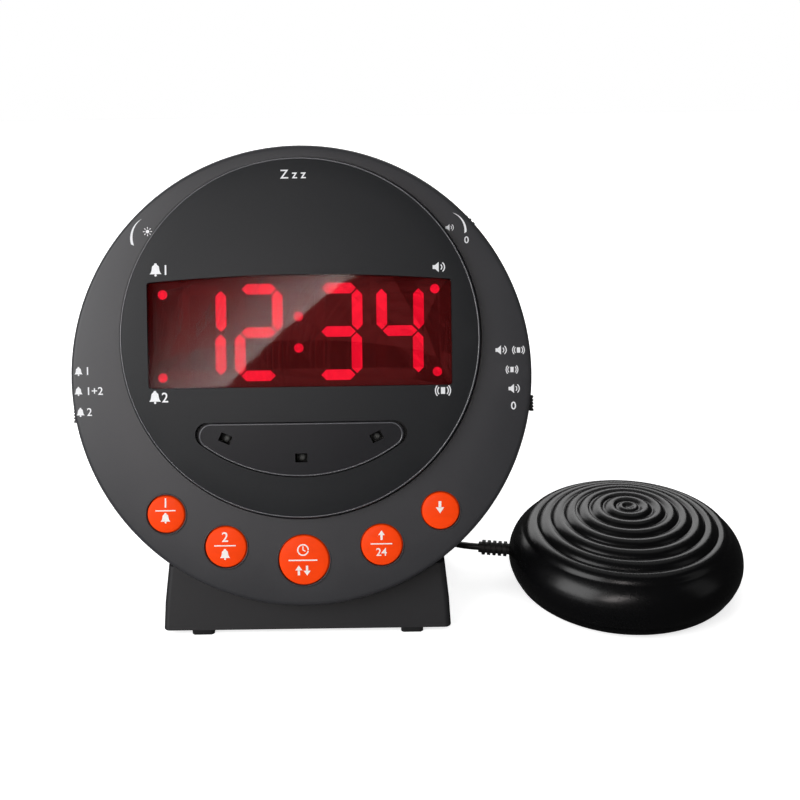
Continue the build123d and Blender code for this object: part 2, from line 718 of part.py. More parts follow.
def dot_solids(grow=0.0, depth=SEGMENT_THICKNESS):
    return [rod(DOT_RADIUS + grow, MODULE_FRONT - depth, MODULE_FRONT, place) for place in dot_places()]


def display_module():
    """The module's body with a pocket for each light, and its two rows of pins."""
    half = WINDOW_WIDTH / 2 + MODULE_MARGIN
    low = WINDOW_RAISE - WINDOW_HEIGHT / 2 - MODULE_MARGIN
    high = WINDOW_RAISE + WINDOW_HEIGHT / 2 + MODULE_MARGIN + WINDOW_TOP_BOW
    back = MODULE_FRONT - MODULE_DEPTH
    body = box_between((-half, low, back), (half, high, MODULE_FRONT))
    depth = SEGMENT_THICKNESS + SEGMENT_CLEARANCE
    pockets = segment_solids(True, SEGMENT_CLEARANCE, depth)
    pockets += segment_solids(False, SEGMENT_CLEARANCE, depth)
    pockets += dot_solids(SEGMENT_CLEARANCE, depth)
    body -= [Pos(0, 0, FIT_GAP / 2) * pocket + pocket for pocket in pockets]
    start = -(MODULE_PIN_COUNT - 1) * MODULE_PIN_PITCH / 2
    pins = [rod(MODULE_PIN_RADIUS, -BOARD_DROP, back, (start + MODULE_PIN_PITCH * i, WINDOW_RAISE + row))
            for i in range(MODULE_PIN_COUNT) for row in (-MODULE_PIN_ROW, MODULE_PIN_ROW)]
    return body + pins


# Front buttons, their switches and their board

def button_cap(radius, place):
    """A round cap with a flange behind the ring's plate and a stem over its switch."""
    top = ring_surface(math.hypot(*place)) + BUTTON_PROUD
    cap = domed_drum(radius, BUTTON_FLANGE_BACK, top - BUTTON_CROWN, top)
    cap = fillet(top_rim(cap), BUTTON_EDGE_ROUND)
    cap += rod(radius + BUTTON_FLANGE_WIDTH, BUTTON_FLANGE_BACK, PLATE_BACK)
    cap += rod(BUTTON_STEM_RADIUS, BUTTON_STEM_BACK, BUTTON_FLANGE_BACK)
    return Pos(*place, 0) * cap


def button_switches():
    """The tactile switches under the five buttons."""
    half = SWITCH_SIDE / 2
    solids = []
    for place in BUTTON_PLACES:
        body = box_between((-half, -half, BUTTON_BOARD_FRONT), (half, half, SWITCH_TOP))
        plunger = rod(SWITCH_PLUNGER_RADIUS, SWITCH_TOP, PLUNGER_TOP)
        solids.append(Pos(*place, 0) * (body + plunger))
    return solids


def button_board():
    """The curved board under the buttons."""
    back = BUTTON_BOARD_FRONT - BUTTON_BOARD_THICKNESS
    middle = BUTTON_ARC_RADIUS
    board = pipe(middle + BUTTON_BOARD_HALF_WIDTH, middle - BUTTON_BOARD_HALF_WIDTH, back,
                 BUTTON_BOARD_FRONT, DISC_CENTRE)
    board &= rod(LIP_OUTER - LIP_WALL - MOVING_GAP, back, BUTTON_BOARD_FRONT)
    floor = DISC_RAISE - BUTTON_ARC_RADIUS * math.cos(math.radians(BUTTON_BOARD_REACH))
    board &= box_between((-RING_RADIUS, -RING_RADIUS, back), (RING_RADIUS, floor, BUTTON_BOARD_FRONT))
    for place in BUTTON_POST_PLACES:
        board -= rod(SMALL_SCREW_RADIUS + FIT_GAP, back - OVERRUN, BUTTON_BOARD_FRONT + OVERRUN, place)
    return board


def small_screw(place, seat):
    """A small board screw pointing out of the face, with its head behind the seat."""
    screw = cross_screw(SMALL_SCREW_RADIUS, SMALL_SCREW_HEAD_RADIUS, SMALL_SCREW_HEAD_HEIGHT,
                        SMALL_SCREW_LENGTH)
    return Pos(*place, seat - SMALL_SCREW_HEAD_HEIGHT) * Rot(180, 0, 0) * screw


def board_screws():
    """The screws of the main board and the button board."""
    back = BUTTON_BOARD_FRONT - BUTTON_BOARD_THICKNESS
    return ([small_screw(place, BOARD_BACK) for place in BOARD_POST_PLACES]
            + [small_screw(place, back) for place in BUTTON_POST_PLACES])


# Main board and what stands on it

def main_board():
    """A round board with ears for the wheels and the slide switches."""
    board = rod(BOARD_RADIUS, BOARD_BACK, -BOARD_DROP)
    board += box_between((-BOARD_EAR_HALF_WIDTH, BOARD_EAR_LOW, BOARD_BACK),
                         (BOARD_EAR_HALF_WIDTH, BOARD_EAR_HIGH, -BOARD_DROP))
    for place in WHEEL_PLACES.values():
        board += rod(BOARD_EAR_RADIUS, BOARD_BACK, -BOARD_DROP, place)
    board &= rod(BOARD_LIMIT_RADIUS, BOARD_BACK, -BOARD_DROP)
    for place in BOARD_POST_PLACES:
        board -= rod(SMALL_SCREW_RADIUS + FIT_GAP, BOARD_BACK - OVERRUN, -BOARD_DROP + OVERRUN, place)
    return board


def controller_chip():
    """The clock's controller on the back of the main board."""
    half = CHIP_SIDE / 2
    top = BOARD_BACK
    chip = box_between((-half, -half, top - CHIP_HEIGHT), (half, half, top - CHIP_LEAD_HEIGHT))
    start = -(CHIP_LEAD_COUNT - 1) * CHIP_LEAD_PITCH / 2
    for i in range(CHIP_LEAD_COUNT):
        along = start + i * CHIP_LEAD_PITCH
        for turn in (0, 90, 180, 270):
            chip += Rot(0, 0, turn) * box_between(
                (half - CHIP_LEAD_LENGTH, along - CHIP_LEAD_WIDTH / 2, top - CHIP_LEAD_HEIGHT),
                (half + CHIP_LEAD_LENGTH, along + CHIP_LEAD_WIDTH / 2, top))
    return Pos(*CHIP_PLACE, 0) * chip


def capacitors():
    return [rod(CAPACITOR_RADIUS, BOARD_BACK - CAPACITOR_HEIGHT, BOARD_BACK, place)
            for place in CAPACITOR_PLACES]


def alert_leds():
    """Three small lamps on legs, one behind each opening of the light panel."""
    top = PANEL_SEAT + PANEL_PROUD + DISC_CROWN_PROUD - DISC_RIM_PROUD - LED_TOP_BELOW_FACE
    solids = []
    for across, up, turn in LED_PLACES:
        base = top - LED_BODY_HEIGHT
        lamp = rod(LED_RADIUS, base, top - LED_RADIUS) + Pos(0, 0, top - LED_RADIUS) * Sphere(LED_RADIUS)
        lamp += rod(LED_FLANGE_RADIUS, PANEL_PAD_BACK - LED_FLANGE_THICKNESS, PANEL_PAD_BACK)
        for side in (-1, 1):
            lamp += rod(LED_LEG_RADIUS, -BOARD_DROP, base + LED_RADIUS, (side * LED_LEG_SPACING / 2, 0))
        solids.append(Pos(across, up, 0) * Rot(0, 0, turn) * lamp)
    return solids


def wheel(place):
    """A thumb wheel with a notched edge and a recessed hub."""
    body = rod(WHEEL_RADIUS, WHEEL_BACK, -WHEEL_DROP)
    body -= rod(WHEEL_SHAFT_RADIUS + RUNNING_GAP, WHEEL_BACK - OVERRUN, -WHEEL_DROP + OVERRUN)
    body -= pipe(WHEEL_HUB_RECESS_RADIUS + WHEEL_HUB_RECESS_DEPTH * 3, WHEEL_HUB_RECESS_RADIUS,
                 -WHEEL_DROP - WHEEL_HUB_RECESS_DEPTH, -WHEEL_DROP + OVERRUN)
    notch = rod(WHEEL_NOTCH_RADIUS, WHEEL_BACK - OVERRUN, -WHEEL_DROP + OVERRUN)
    body -= [Pos(*on_circle(WHEEL_RADIUS, 360 / WHEEL_NOTCHES * i), 0) * notch
             for i in range(WHEEL_NOTCHES)]
    return Pos(*place, 0) * body


def potentiometer(place):
    """The turning resistor under a wheel, with the shaft that the wheel turns on."""
    body = rod(POTENTIOMETER_RADIUS, -BOARD_DROP, WHEEL_BACK - MOVING_GAP, place)
    return body + rod(WHEEL_SHAFT_RADIUS, WHEEL_BACK - MOVING_GAP, -WHEEL_DROP, place)


def slide_switch_body(name):
    """The fixed body of a side slide switch, standing on the main board."""
    side = SLIDE_SIDES[name]
    low, high = sorted((side * SLIDE_BODY_IN, side * SLIDE_BODY_OUT))
    reach = slide_travel(name) / 2 + SLIDE_BODY_END
    middle = SLIDE_MIDDLES[name]
    return box_between((low, middle - reach, -BOARD_DROP), (high, middle + reach, -SLIDE_BODY_FRONT))


def slide_rest(name):
    """Where a slide switch's knob stands at rest: at the lower end of its travel."""
    return SLIDE_MIDDLES[name] - slide_travel(name) / 2


def slide_knob(name):
    """The knob of a side slide switch: a stem through the slot and a ribbed cap outside."""
    side = SLIDE_SIDES[name]
    rest = slide_rest(name)
    stem_half = SLIDE_STEM_WIDTH / 2
    cap_half = SLIDE_CAP_WIDTH / 2
    inner = SLIDE_BODY_OUT + FIT_GAP / 2
    outer = RING_RADIUS + FIT_GAP
    tip = outer + SLIDE_CAP_PROUD
    deep = SLIDE_STEM_DEPTH / 2
    cap_deep = SLIDE_CAP_DEPTH / 2
    knob = box_between((inner, rest - stem_half, -SLIDE_STEM_MIDDLE - deep),
                       (outer, rest + stem_half, -SLIDE_STEM_MIDDLE + deep))
    cap = box_between((outer, rest - cap_half, -SLIDE_STEM_MIDDLE - cap_deep),
                      (tip, rest + cap_half, -SLIDE_STEM_MIDDLE + cap_deep))
    pitch = SLIDE_CAP_WIDTH / (SLIDE_RIB_COUNT + 1)
    for i in range(SLIDE_RIB_COUNT):
        along = rest - cap_half + pitch * (i + 1)
        cap -= box_between((tip - SLIDE_RIB_DEPTH, along - SLIDE_RIB_WIDTH / 2, -RING_DEPTH),
                           (tip + OVERRUN, along + SLIDE_RIB_WIDTH / 2, 0))
    knob += cap
    return knob if side > 0 else mirror(knob, about=Plane.YZ)


# Rear case

BAY_LENGTH = BATTERY_LENGTH + TERMINAL_HEIGHT + CLIP_THICKNESS + 2 * BAY_CLEARANCE
BAY_HEIGHT = BATTERY_WIDTH + 2 * BAY_CLEARANCE
DOOR_BACK = -CASE_DEPTH
DOOR_FRONT = DOOR_BACK + DOOR_THICKNESS
BAY_FLOOR = DOOR_FRONT + BATTERY_THICKNESS + 2 * BAY_CLEARANCE
CASE_INSIDE = -CASE_DEPTH + CASE_WALL


def bay_box(margin, low, high):
    """A box round the battery bay, grown sideways by a margin."""
    half = BAY_LENGTH / 2 + margin
    tall = BAY_HEIGHT / 2 + margin
    return box_between((-half, BAY_RAISE - tall, low), (half, BAY_RAISE + tall, high))


def grille_places():
    """The holes of the speaker's grille: one in the middle and rings round it."""
    places = [SPEAKER_PLACE]
    for ring in range(1, GRILLE_RINGS + 1):
        count = GRILLE_HOLES_PER_RING * ring
        places += [on_circle(GRILLE_RING_PITCH * ring, 360 / count * i, SPEAKER_PLACE)
                   for i in range(count)]
    return places


def case_to_part(place, low_z, high_z, radius):
    """An upright rod in the part's frame, given in the face's own frame."""
    x, y = place
    upright = Pos(x, y, (low_z + high_z) / 2) * Cylinder(radius, high_z - low_z)
    return FACE.location.inverse() * upright


def stand_screw_places():
    """The two screws from the stand up into the case, in the part's frame."""
    across, back = STAND_POST_PLACE
    return [(CLOCK_X - across, CLOCK_Y + back), (CLOCK_X + across, CLOCK_Y + back)]


STAND_SCREW_SEAT = FOOT_HEIGHT + COVER_THICKNESS + STAND_SCREW_RECESS
UNDERSIDE_STEPS = 40


def case_underside(place):
    """Height of the case's underside above a place on the table, found by halving."""
    across = place[0] - CLOCK_X
    back = place[1] - CLOCK_Y
    low, high = 0, FACE_HEIGHT
    for _ in range(UNDERSIDE_STEPS):
        height = (low + high) / 2
        rise = height - FACE_HEIGHT
        up = back * math.sin(TILT) + rise * math.cos(TILT)
        deep = back * math.cos(TILT) - rise * math.sin(TILT) - RING_DEPTH - CASE_SIDE_DEPTH
        reach = math.hypot(across, up) - CASE_FLAT_RADIUS
        if math.hypot(max(reach, 0), max(deep, 0)) < CASE_ROUND:
            high = height
        else:
            low = height
    return high


def rear_case():
    outer = case_form(0)
    shell = outer - case_form(-CASE_WALL) - rod(CASE_RADIUS - CASE_WALL, -RING_DEPTH - FIT_GAP, OVERRUN)
    inside = case_form(-FIT_GAP)
    shell += pipe(LIP_OUTER, LIP_OUTER - LIP_WALL, -RING_DEPTH - LIP_ROOT, -RING_DEPTH + LIP_REACH)
    for place in CASE_SCREW_PLACES:
        shell += outer & rod(CASE_BOSS_RADIUS, -CASE_DEPTH, -RING_DEPTH, place)
        shell -= rod(CASE_SCREW_HEAD_RADIUS + FIT_GAP, -CASE_DEPTH - OVERRUN, CASE_SCREW_SEAT, place)
        shell -= rod(CASE_SCREW_RADIUS + FIT_GAP, CASE_SCREW_SEAT - OVERRUN, -RING_DEPTH + OVERRUN, place)
        shell -= rod(RING_BOSS_RADIUS + FIT_GAP, -RING_DEPTH, 0, place)
    shell += inside & bay_box(BAY_WALL, DOOR_BACK, BAY_FLOOR + BAY_WALL)
    shell -= bay_box(0, DOOR_BACK - OVERRUN, BAY_FLOOR)
    shell -= bay_box(DOOR_MARGIN + FIT_GAP, DOOR_BACK - OVERRUN, DOOR_FRONT)
    shell += pipe(SPEAKER_RADIUS + FIT_GAP + SPEAKER_RETAINER_WALL, SPEAKER_RADIUS + FIT_GAP,
                  CASE_INSIDE - FIT_GAP, CASE_INSIDE + SPEAKER_RETAINER_HEIGHT, SPEAKER_PLACE) & inside
    shell -= [rod(GRILLE_HOLE_RADIUS, -CASE_DEPTH - OVERRUN, CASE_INSIDE + OVERRUN, place)
              for place in grille_places()]
    shell -= rod(INLET_NOSE_RADIUS + FIT_GAP, -CASE_DEPTH - OVERRUN, CASE_INSIDE + OVERRUN, INLET_PLACE)
    shell -= snooze_slot()
    for place in stand_screw_places():
        under = case_underside(place)
        top = under + CASE_WALL + STAND_SCREW_BITE
        shell += inside & case_to_part(place, under - CASE_WALL, top, CASE_FOOT_BOSS_RADIUS)
        shell -= case_to_part(place, under - CASE_WALL - OVERRUN, top - CASE_WALL + FIT_GAP,
                              STAND_SCREW_RADIUS + PILOT_CLEARANCE)
    return shell


def case_screws():
    screw = cross_screw(CASE_SCREW_RADIUS, CASE_SCREW_HEAD_RADIUS, CASE_SCREW_HEAD_HEIGHT,
                        CASE_SCREW_GRIP + CASE_SCREW_BITE)
    return [Pos(*place, CASE_SCREW_SEAT - CASE_SCREW_HEAD_HEIGHT) * Rot(180, 0, 0) * screw
            for place in CASE_SCREW_PLACES]


# Snooze bar

def snooze_box(margin, low, high):
    """A box over the top of the case, grown sideways by a margin."""
    half = SNOOZE_HALF_WIDTH + margin
    return box_between((-half, low, -SNOOZE_BACK - margin), (half, high, -SNOOZE_FRONT + margin))


def snooze_slot():
    """The opening in the case for the bar and for its way down."""
    margin = SNOOZE_END_GAP
    return snooze_box(margin, 0, RING_RADIUS + OVERRUN) - case_form(-CASE_WALL - LIP_WALL)


def snooze_bar():
    """The long bar: a curved top, a flange under the case's wall and a post over its switch."""
    high = RING_RADIUS + SNOOZE_PROUD + OVERRUN
    top = case_form(SNOOZE_PROUD) - case_form(-CASE_WALL - MOVING_GAP - SNOOZE_FLANGE_WALL / 2)
    top &= snooze_box(0, 0, high)
    outer_face = top.faces().sort_by(Axis.Y)[-1]
    top = fillet(outer_face.edges(), SNOOZE_EDGE_ROUND)
    under = -CASE_WALL - MOVING_GAP
    flange = case_form(under) - case_form(under - SNOOZE_FLANGE_WALL)
    flange &= snooze_box(SNOOZE_FLANGE, 0, high)
    post_low = SNOOZE_SWITCH_TOP + SNOOZE_TRAVEL + FIT_GAP
    middle = snooze_middle()
    post = box_between((-SNOOZE_POST_WIDTH / 2, post_low, middle - SNOOZE_POST_DEPTH / 2),
                       (SNOOZE_POST_WIDTH / 2, CASE_RADIUS, middle + SNOOZE_POST_DEPTH / 2))
    post &= case_form(under)
    return top + flange + post


def snooze_middle():
    return -(SNOOZE_FRONT + SNOOZE_SWITCH_SIDE / 2)


def snooze_switch():
    """The switch under the bar and the small upright board that carries it."""
    middle = snooze_middle()
    half = SNOOZE_SWITCH_SIDE / 2
    base = SNOOZE_SWITCH_TOP - SNOOZE_SWITCH_HEIGHT
    plunger_start = SNOOZE_SWITCH_TOP - SWITCH_PLUNGER_HEIGHT
    body = box_between((-half, base, middle - half), (half, plunger_start, middle + half))
    plunger = Pos(0, (plunger_start + SNOOZE_SWITCH_TOP) / 2, middle) * Rot(90, 0, 0) * Cylinder(
        SWITCH_PLUNGER_RADIUS, SWITCH_PLUNGER_HEIGHT)
    return body + plunger


def snooze_board():
    """The small board that carries the snooze switch, standing on the main board's back."""
    half = SNOOZE_BOARD_WIDTH / 2
    top = SNOOZE_SWITCH_TOP - SNOOZE_SWITCH_HEIGHT
    return box_between((-half, top - BUTTON_BOARD_THICKNESS, BOARD_BACK - SNOOZE_BOARD_HEIGHT),
                       (half, top, BOARD_BACK))


# Back-up battery, its clip and its door

BATTERY_START = -BAY_LENGTH / 2 + BAY_CLEARANCE


def backup_battery():
    """A block battery lying in the bay, with its two terminals at one end."""
    low = BAY_RAISE - BATTERY_WIDTH / 2
    back = DOOR_FRONT + BAY_CLEARANCE
    end = BATTERY_START + BATTERY_LENGTH
    body = box_between((BATTERY_START, low, back),
                       (end, low + BATTERY_WIDTH, back + BATTERY_THICKNESS))
    body = fillet(body.edges().filter_by(Axis.X), BATTERY_ROUND)
    middle = back + BATTERY_THICKNESS / 2
    for side in (-1, 1):
        body += Pos(end + TERMINAL_HEIGHT / 2, BAY_RAISE + side * TERMINAL_SPACING / 2, middle) * Rot(
            0, 90, 0) * Cylinder(TERMINAL_RADIUS, TERMINAL_HEIGHT)
    return body


def battery_clip():
    """The snap clip on the battery's terminals."""
    start = BATTERY_START + BATTERY_LENGTH + TERMINAL_HEIGHT
    low = BAY_RAISE - BATTERY_WIDTH / 2 + BATTERY_ROUND
    back = DOOR_FRONT + BAY_CLEARANCE + BATTERY_ROUND
    return box_between((start, low, back),
                       (start + CLIP_THICKNESS, low + BATTERY_WIDTH - 2 * BATTERY_ROUND,
                        back + BATTERY_THICKNESS - 2 * BATTERY_ROUND))


def battery_door():
    """The door over the bay, with grip ribs near its upper edge."""
    door = bay_box(DOOR_MARGIN, DOOR_BACK, DOOR_FRONT - FIT_GAP / 2)
    high = BAY_RAISE + BAY_HEIGHT / 2
    for i in range(DOOR_GRIP_RIBS):
        along = high - DOOR_GRIP_PITCH * (i + 1)
        door += box_between(
            (-DOOR_GRIP_WIDTH / 2, along - DOOR_GRIP_THICK / 2, DOOR_BACK - DOOR_GRIP_HEIGHT),
            (DOOR_GRIP_WIDTH / 2, along + DOOR_GRIP_THICK / 2, DOOR_BACK))
    return door


# Speaker

def speaker_frame():
    """The speaker's rim and its basket, open where the cone sits."""
    rim_front = CASE_INSIDE + SPEAKER_RIM_THICKNESS
    basket_front = rim_front + SPEAKER_BASKET_DEPTH
    edges = Polyline((SPEAKER_CONE_RADIUS, CASE_INSIDE), (SPEAKER_RADIUS, CASE_INSIDE),
                     (SPEAKER_RADIUS, rim_front), (SPEAKER_MAGNET_RADIUS, basket_front),
                     (SPEAKER_CAP_RADIUS, basket_front),
                     (SPEAKER_CAP_RADIUS, basket_front - SPEAKER_CONE_WALL),
                     (SPEAKER_CONE_RADIUS, rim_front), close=True)
    return Pos(*SPEAKER_PLACE, 0) * turned(edges)


def speaker_magnet():
    start = CASE_INSIDE + SPEAKER_RIM_THICKNESS + SPEAKER_BASKET_DEPTH
    return rod(SPEAKER_MAGNET_RADIUS, start, start + SPEAKER_MAGNET_HEIGHT, SPEAKER_PLACE)


def speaker_cone():
    """The paper cone and its dust cap, facing the grille."""
    rim = CASE_INSIDE + SPEAKER_RIM_THICKNESS / 2
    back = rim + SPEAKER_CONE_DEPTH
    edge = SPEAKER_CONE_RADIUS - FIT_GAP / 2
    outline = Polyline((0, back), (SPEAKER_CAP_RADIUS, back), (edge, rim),
                       (edge - SPEAKER_CONE_WALL, rim),
                       (SPEAKER_CAP_RADIUS, back - SPEAKER_CONE_WALL),
                       (0, back - SPEAKER_CONE_WALL - SPEAKER_CAP_RADIUS / 3), close=True)
    return Pos(*SPEAKER_PLACE, 0) * turned(outline)


# Power inlet

def power_inlet():
    """A barrel socket behind the rear wall, with its nose through the wall and a centre pin."""
    across, up = INLET_PLACE
    body = box_between((across - INLET_WIDTH / 2, up - INLET_HEIGHT / 2, CASE_INSIDE),
                       (across + INLET_WIDTH / 2, up + INLET_HEIGHT / 2, CASE_INSIDE + INLET_DEPTH))
    body += rod(INLET_NOSE_RADIUS, -CASE_DEPTH, CASE_INSIDE, INLET_PLACE)
    bore_end = -CASE_DEPTH + INLET_BORE_DEPTH
    body -= rod(INLET_BORE_RADIUS, -CASE_DEPTH - OVERRUN, bore_end, INLET_PLACE)
    return body + rod(INLET_PIN_RADIUS, -CASE_DEPTH + INLET_PIN_SET_BACK, bore_end, INLET_PLACE)


# Stand, drawn in the frame of the part

STAND_BACK_Y = CLOCK_Y + STAND_REAR
JACK_X = CLOCK_X + JACK_PLACE


def face_plane_y(height):
    """How far forward the stand's sloping front is at a height."""
    up = (height - FACE_HEIGHT + STAND_SET_BACK * math.sin(TILT)) / math.cos(TILT)
    return CLOCK_Y + up * math.sin(TILT) + STAND_SET_BACK * math.cos(TILT)


STAND_FRONT_Y = face_plane_y(FOOT_HEIGHT)
STAND_TOP = (FACE_HEIGHT + STAND_FRONT_TOP * math.cos(TILT)
             - STAND_SET_BACK * math.sin(TILT))


def stand_block(inset):
    """The stand's solid form, shrunk by an inset on every wall but not at its open bottom."""
    slope = 1 / math.cos(TILT)
    low = FOOT_HEIGHT - (OVERRUN if inset else 0)
    front_low = face_plane_y(low) + inset * slope
    top = STAND_TOP - inset
    rear_top = STAND_REAR_HEIGHT - inset
    back = STAND_BACK_Y - inset
    side = Polyline((front_low, low), (face_plane_y(top) + inset * slope, top), (back, rear_top),
                    (back, low), close=True)
    half = STAND_HALF_WIDTH - inset
    profile = extrude(Plane.YZ * make_face(side), amount=STAND_HALF_WIDTH, both=True)
    spread = STAND_DRAFT_SHARE * (low - FOOT_HEIGHT)
    narrow = STAND_DRAFT_SHARE * (STAND_REAR_HEIGHT - FOOT_HEIGHT)
    front = Polyline((-half + spread, low), (half - spread, low),
                     (half - narrow, STAND_REAR_HEIGHT), (-half + narrow, STAND_REAR_HEIGHT),
                     close=True)
    reach = 2 * STAND_REAR
    block = profile & extrude(Plane.XZ * make_face(front), amount=reach, both=True)
    rear_half = STAND_REAR_HALF_WIDTH - inset
    plan = Polyline((-half, STAND_FRONT_Y - OVERRUN), (half, STAND_FRONT_Y - OVERRUN),
                    (rear_half, STAND_BACK_Y + OVERRUN), (-rear_half, STAND_BACK_Y + OVERRUN),
                    close=True)
    block &= extrude(make_face(plan), amount=STAND_REAR_HEIGHT + OVERRUN)
    if not inset:
        corners = block.edges().filter_by(lambda edge: abs(edge.tangent_at(0).Z) > 1 / 2)
        block = fillet(corners, STAND_EDGE_ROUND)
    return Pos(CLOCK_X, 0, 0) * block


def stand_posts(places, radius, low, high):
    """A pair of posts for each place given on one side of the stand."""
    posts = []
    for across, back in places:
        for side in (-1, 1):
            posts.append(Pos(CLOCK_X + side * across, CLOCK_Y + back, (low + high) / 2)
                         * Cylinder(radius, high - low))
    return posts


def stand_ribs(places, low, high):
    """A rib from each post out to the stand's side wall."""
    ribs = []
    for across, back in places:
        for side in (-1, 1):
            near, far = sorted((side * across, side * STAND_HALF_WIDTH))
            middle = CLOCK_Y + back
            ribs.append(box_between((CLOCK_X + near, middle - STAND_RIB_THICKNESS / 2, low),
                                    (CLOCK_X + far, middle + STAND_RIB_THICKNESS / 2, high)))
    return ribs


def stand():
    """The hollow stand: open below, and open above where the case rests in its walls."""
    floor = FOOT_HEIGHT + COVER_THICKNESS
    outer = stand_block(0)
    drum = placed(drum_form(CRADLE_GAP))
    body = outer - stand_block(STAND_WALL)
    inside = stand_block(STAND_WALL / 2)
    posts = stand_posts([STAND_POST_PLACE], STAND_POST_RADIUS, floor, STAND_REAR_HEIGHT)
    posts += stand_ribs([STAND_POST_PLACE], floor, STAND_REAR_HEIGHT)
    posts += stand_posts(COVER_POST_PLACES, COVER_POST_RADIUS, floor, floor + COVER_POST_HEIGHT)
    posts += stand_ribs(COVER_POST_PLACES, floor, floor + COVER_POST_HEIGHT)
    body += [inside & post for post in posts]
    body -= drum
    body -= stand_posts([STAND_POST_PLACE], STAND_SCREW_HEAD_RADIUS + FIT_GAP, floor - OVERRUN,
                        STAND_SCREW_SEAT)
    body -= stand_posts([STAND_POST_PLACE], STAND_SCREW_RADIUS + FIT_GAP, floor, STAND_REAR_HEIGHT)
    body -= stand_posts(COVER_POST_PLACES, COVER_SCREW_RADIUS + PILOT_CLEARANCE, floor - OVERRUN,
                        FOOT_HEIGHT + COVER_SCREW_HEAD_HEIGHT + COVER_SCREW_LENGTH + FIT_GAP)
    body -= Pos(JACK_X, STAND_BACK_Y, JACK_HEIGHT) * Rot(90, 0, 0) * Cylinder(
        JACK_NOSE_RADIUS + FIT_GAP, 4 * STAND_WALL)
    return body


def stand_cover():
    """The plate that closes the stand from below."""
    plate = stand_block(STAND_WALL + FIT_GAP)
    floor = FOOT_HEIGHT + COVER_THICKNESS
    plate &= box_between((CLOCK_X - STAND_HALF_WIDTH, STAND_FRONT_Y, FOOT_HEIGHT),
                         (CLOCK_X + STAND_HALF_WIDTH, STAND_BACK_Y, floor))
    plate -= stand_posts(COVER_POST_PLACES, COVER_SCREW_RADIUS + FIT_GAP, 0, STAND_REAR_HEIGHT)
    plate -= stand_posts(COVER_POST_PLACES, COVER_SCREW_HEAD_RADIUS + FIT_GAP, 0,
                         FOOT_HEIGHT + COVER_SCREW_HEAD_HEIGHT)
    return plate


def rubber_feet():
    """Two feet under the stand's front edge and two under its back edge."""
    front = STAND_FRONT_Y + FOOT_INSET
    back = STAND_BACK_Y - FOOT_INSET - FOOT_DEPTH
    feet = []
    for place, start in ((FOOT_PLACE, front), (REAR_FOOT_PLACE, back)):
        for side in (-1, 1):
            middle = CLOCK_X + side * place
            foot = box_between((middle - FOOT_WIDTH / 2, start, 0),
                               (middle + FOOT_WIDTH / 2, start + FOOT_DEPTH, FOOT_HEIGHT))
            feet.append(fillet(foot.edges().filter_by(Axis.Z), FOOT_ROUND))
    return feet


def stand_screws():
    """The two screws from inside the stand up into the rear case."""
    screws = []
    for place in stand_screw_places():
        length = case_underside(place) - STAND_SCREW_SEAT + STAND_SCREW_BITE
        screw = cross_screw(STAND_SCREW_RADIUS, STAND_SCREW_HEAD_RADIUS, STAND_SCREW_HEAD_HEIGHT, length)
        screws.append(Pos(*place, STAND_SCREW_SEAT - STAND_SCREW_HEAD_HEIGHT) * Rot(180, 0, 0) * screw)
    return screws


def cover_screws():
    screw = cross_screw(COVER_SCREW_RADIUS, COVER_SCREW_HEAD_RADIUS, COVER_SCREW_HEAD_HEIGHT,
                        COVER_SCREW_LENGTH)
    return [Pos(CLOCK_X + side * across, CLOCK_Y + back, FOOT_HEIGHT) * Rot(180, 0, 0) * screw
            for across, back in COVER_POST_PLACES for side in (-1, 1)]


# Shaker jack and the plug in it

def along_y(shape, y):
    """Turn a solid drawn along Z so that it points to the back, starting at y."""
    return Pos(JACK_X, y, JACK_HEIGHT) * Rot(-90, 0, 0) * shape


def shaker_jack():
    """The socket for the shaker's plug, inside the stand's rear wall."""
    inside = STAND_BACK_Y - STAND_WALL
    half = JACK_SIDE / 2
    body = box_between((JACK_X - half, inside - JACK_DEPTH + STAND_WALL, JACK_HEIGHT - half),
                       (JACK_X + half, inside, JACK_HEIGHT + half))
    body += along_y(rod(JACK_NOSE_RADIUS, 0, STAND_WALL), inside)
    depth = PLUG_PIN_LENGTH + FIT_GAP
    return body - along_y(rod(PLUG_PIN_RADIUS + RUNNING_GAP, -depth, OVERRUN), STAND_BACK_Y)


def shaker_plug():
    """The plug: a pin with a narrow tip, a ribbed grip and a ribbed tail."""
    pin = rod(PLUG_PIN_RADIUS, -PLUG_PIN_LENGTH + PLUG_TIP_LENGTH, 0)
    pin += Pos(0, 0, -PLUG_PIN_LENGTH + PLUG_TIP_LENGTH / 2) * Cone(
        PLUG_TIP_RADIUS, PLUG_PIN_RADIUS, PLUG_TIP_LENGTH)
    grip = rod(PLUG_GRIP_RADIUS, FIT_GAP, PLUG_GRIP_LENGTH)
    grip = fillet(grip.edges().filter_by(GeomType.CIRCLE), PLUG_GRIP_ROUND)
    for i in range(PLUG_RIB_COUNT):
        low = PLUG_GRIP_LENGTH / 4 + i * 2 * PLUG_RIB_WIDTH
        grip += rod(PLUG_GRIP_RADIUS + PLUG_RIB_HEIGHT, low, low + PLUG_RIB_WIDTH)
    tail = Pos(0, 0, PLUG_GRIP_LENGTH + PLUG_TAIL_LENGTH / 2) * Cone(
        PLUG_TAIL_RADIUS + PLUG_RIB_HEIGHT, (PLUG_TAIL_RADIUS + CORD_DIAMETER / 2) / 2, PLUG_TAIL_LENGTH)
    root = rod(PLUG_PIN_RADIUS, 0, FIT_GAP)
    return along_y(pin + root + grip + tail, STAND_BACK_Y)


# Shaker, drawn about its own middle with its base on the table

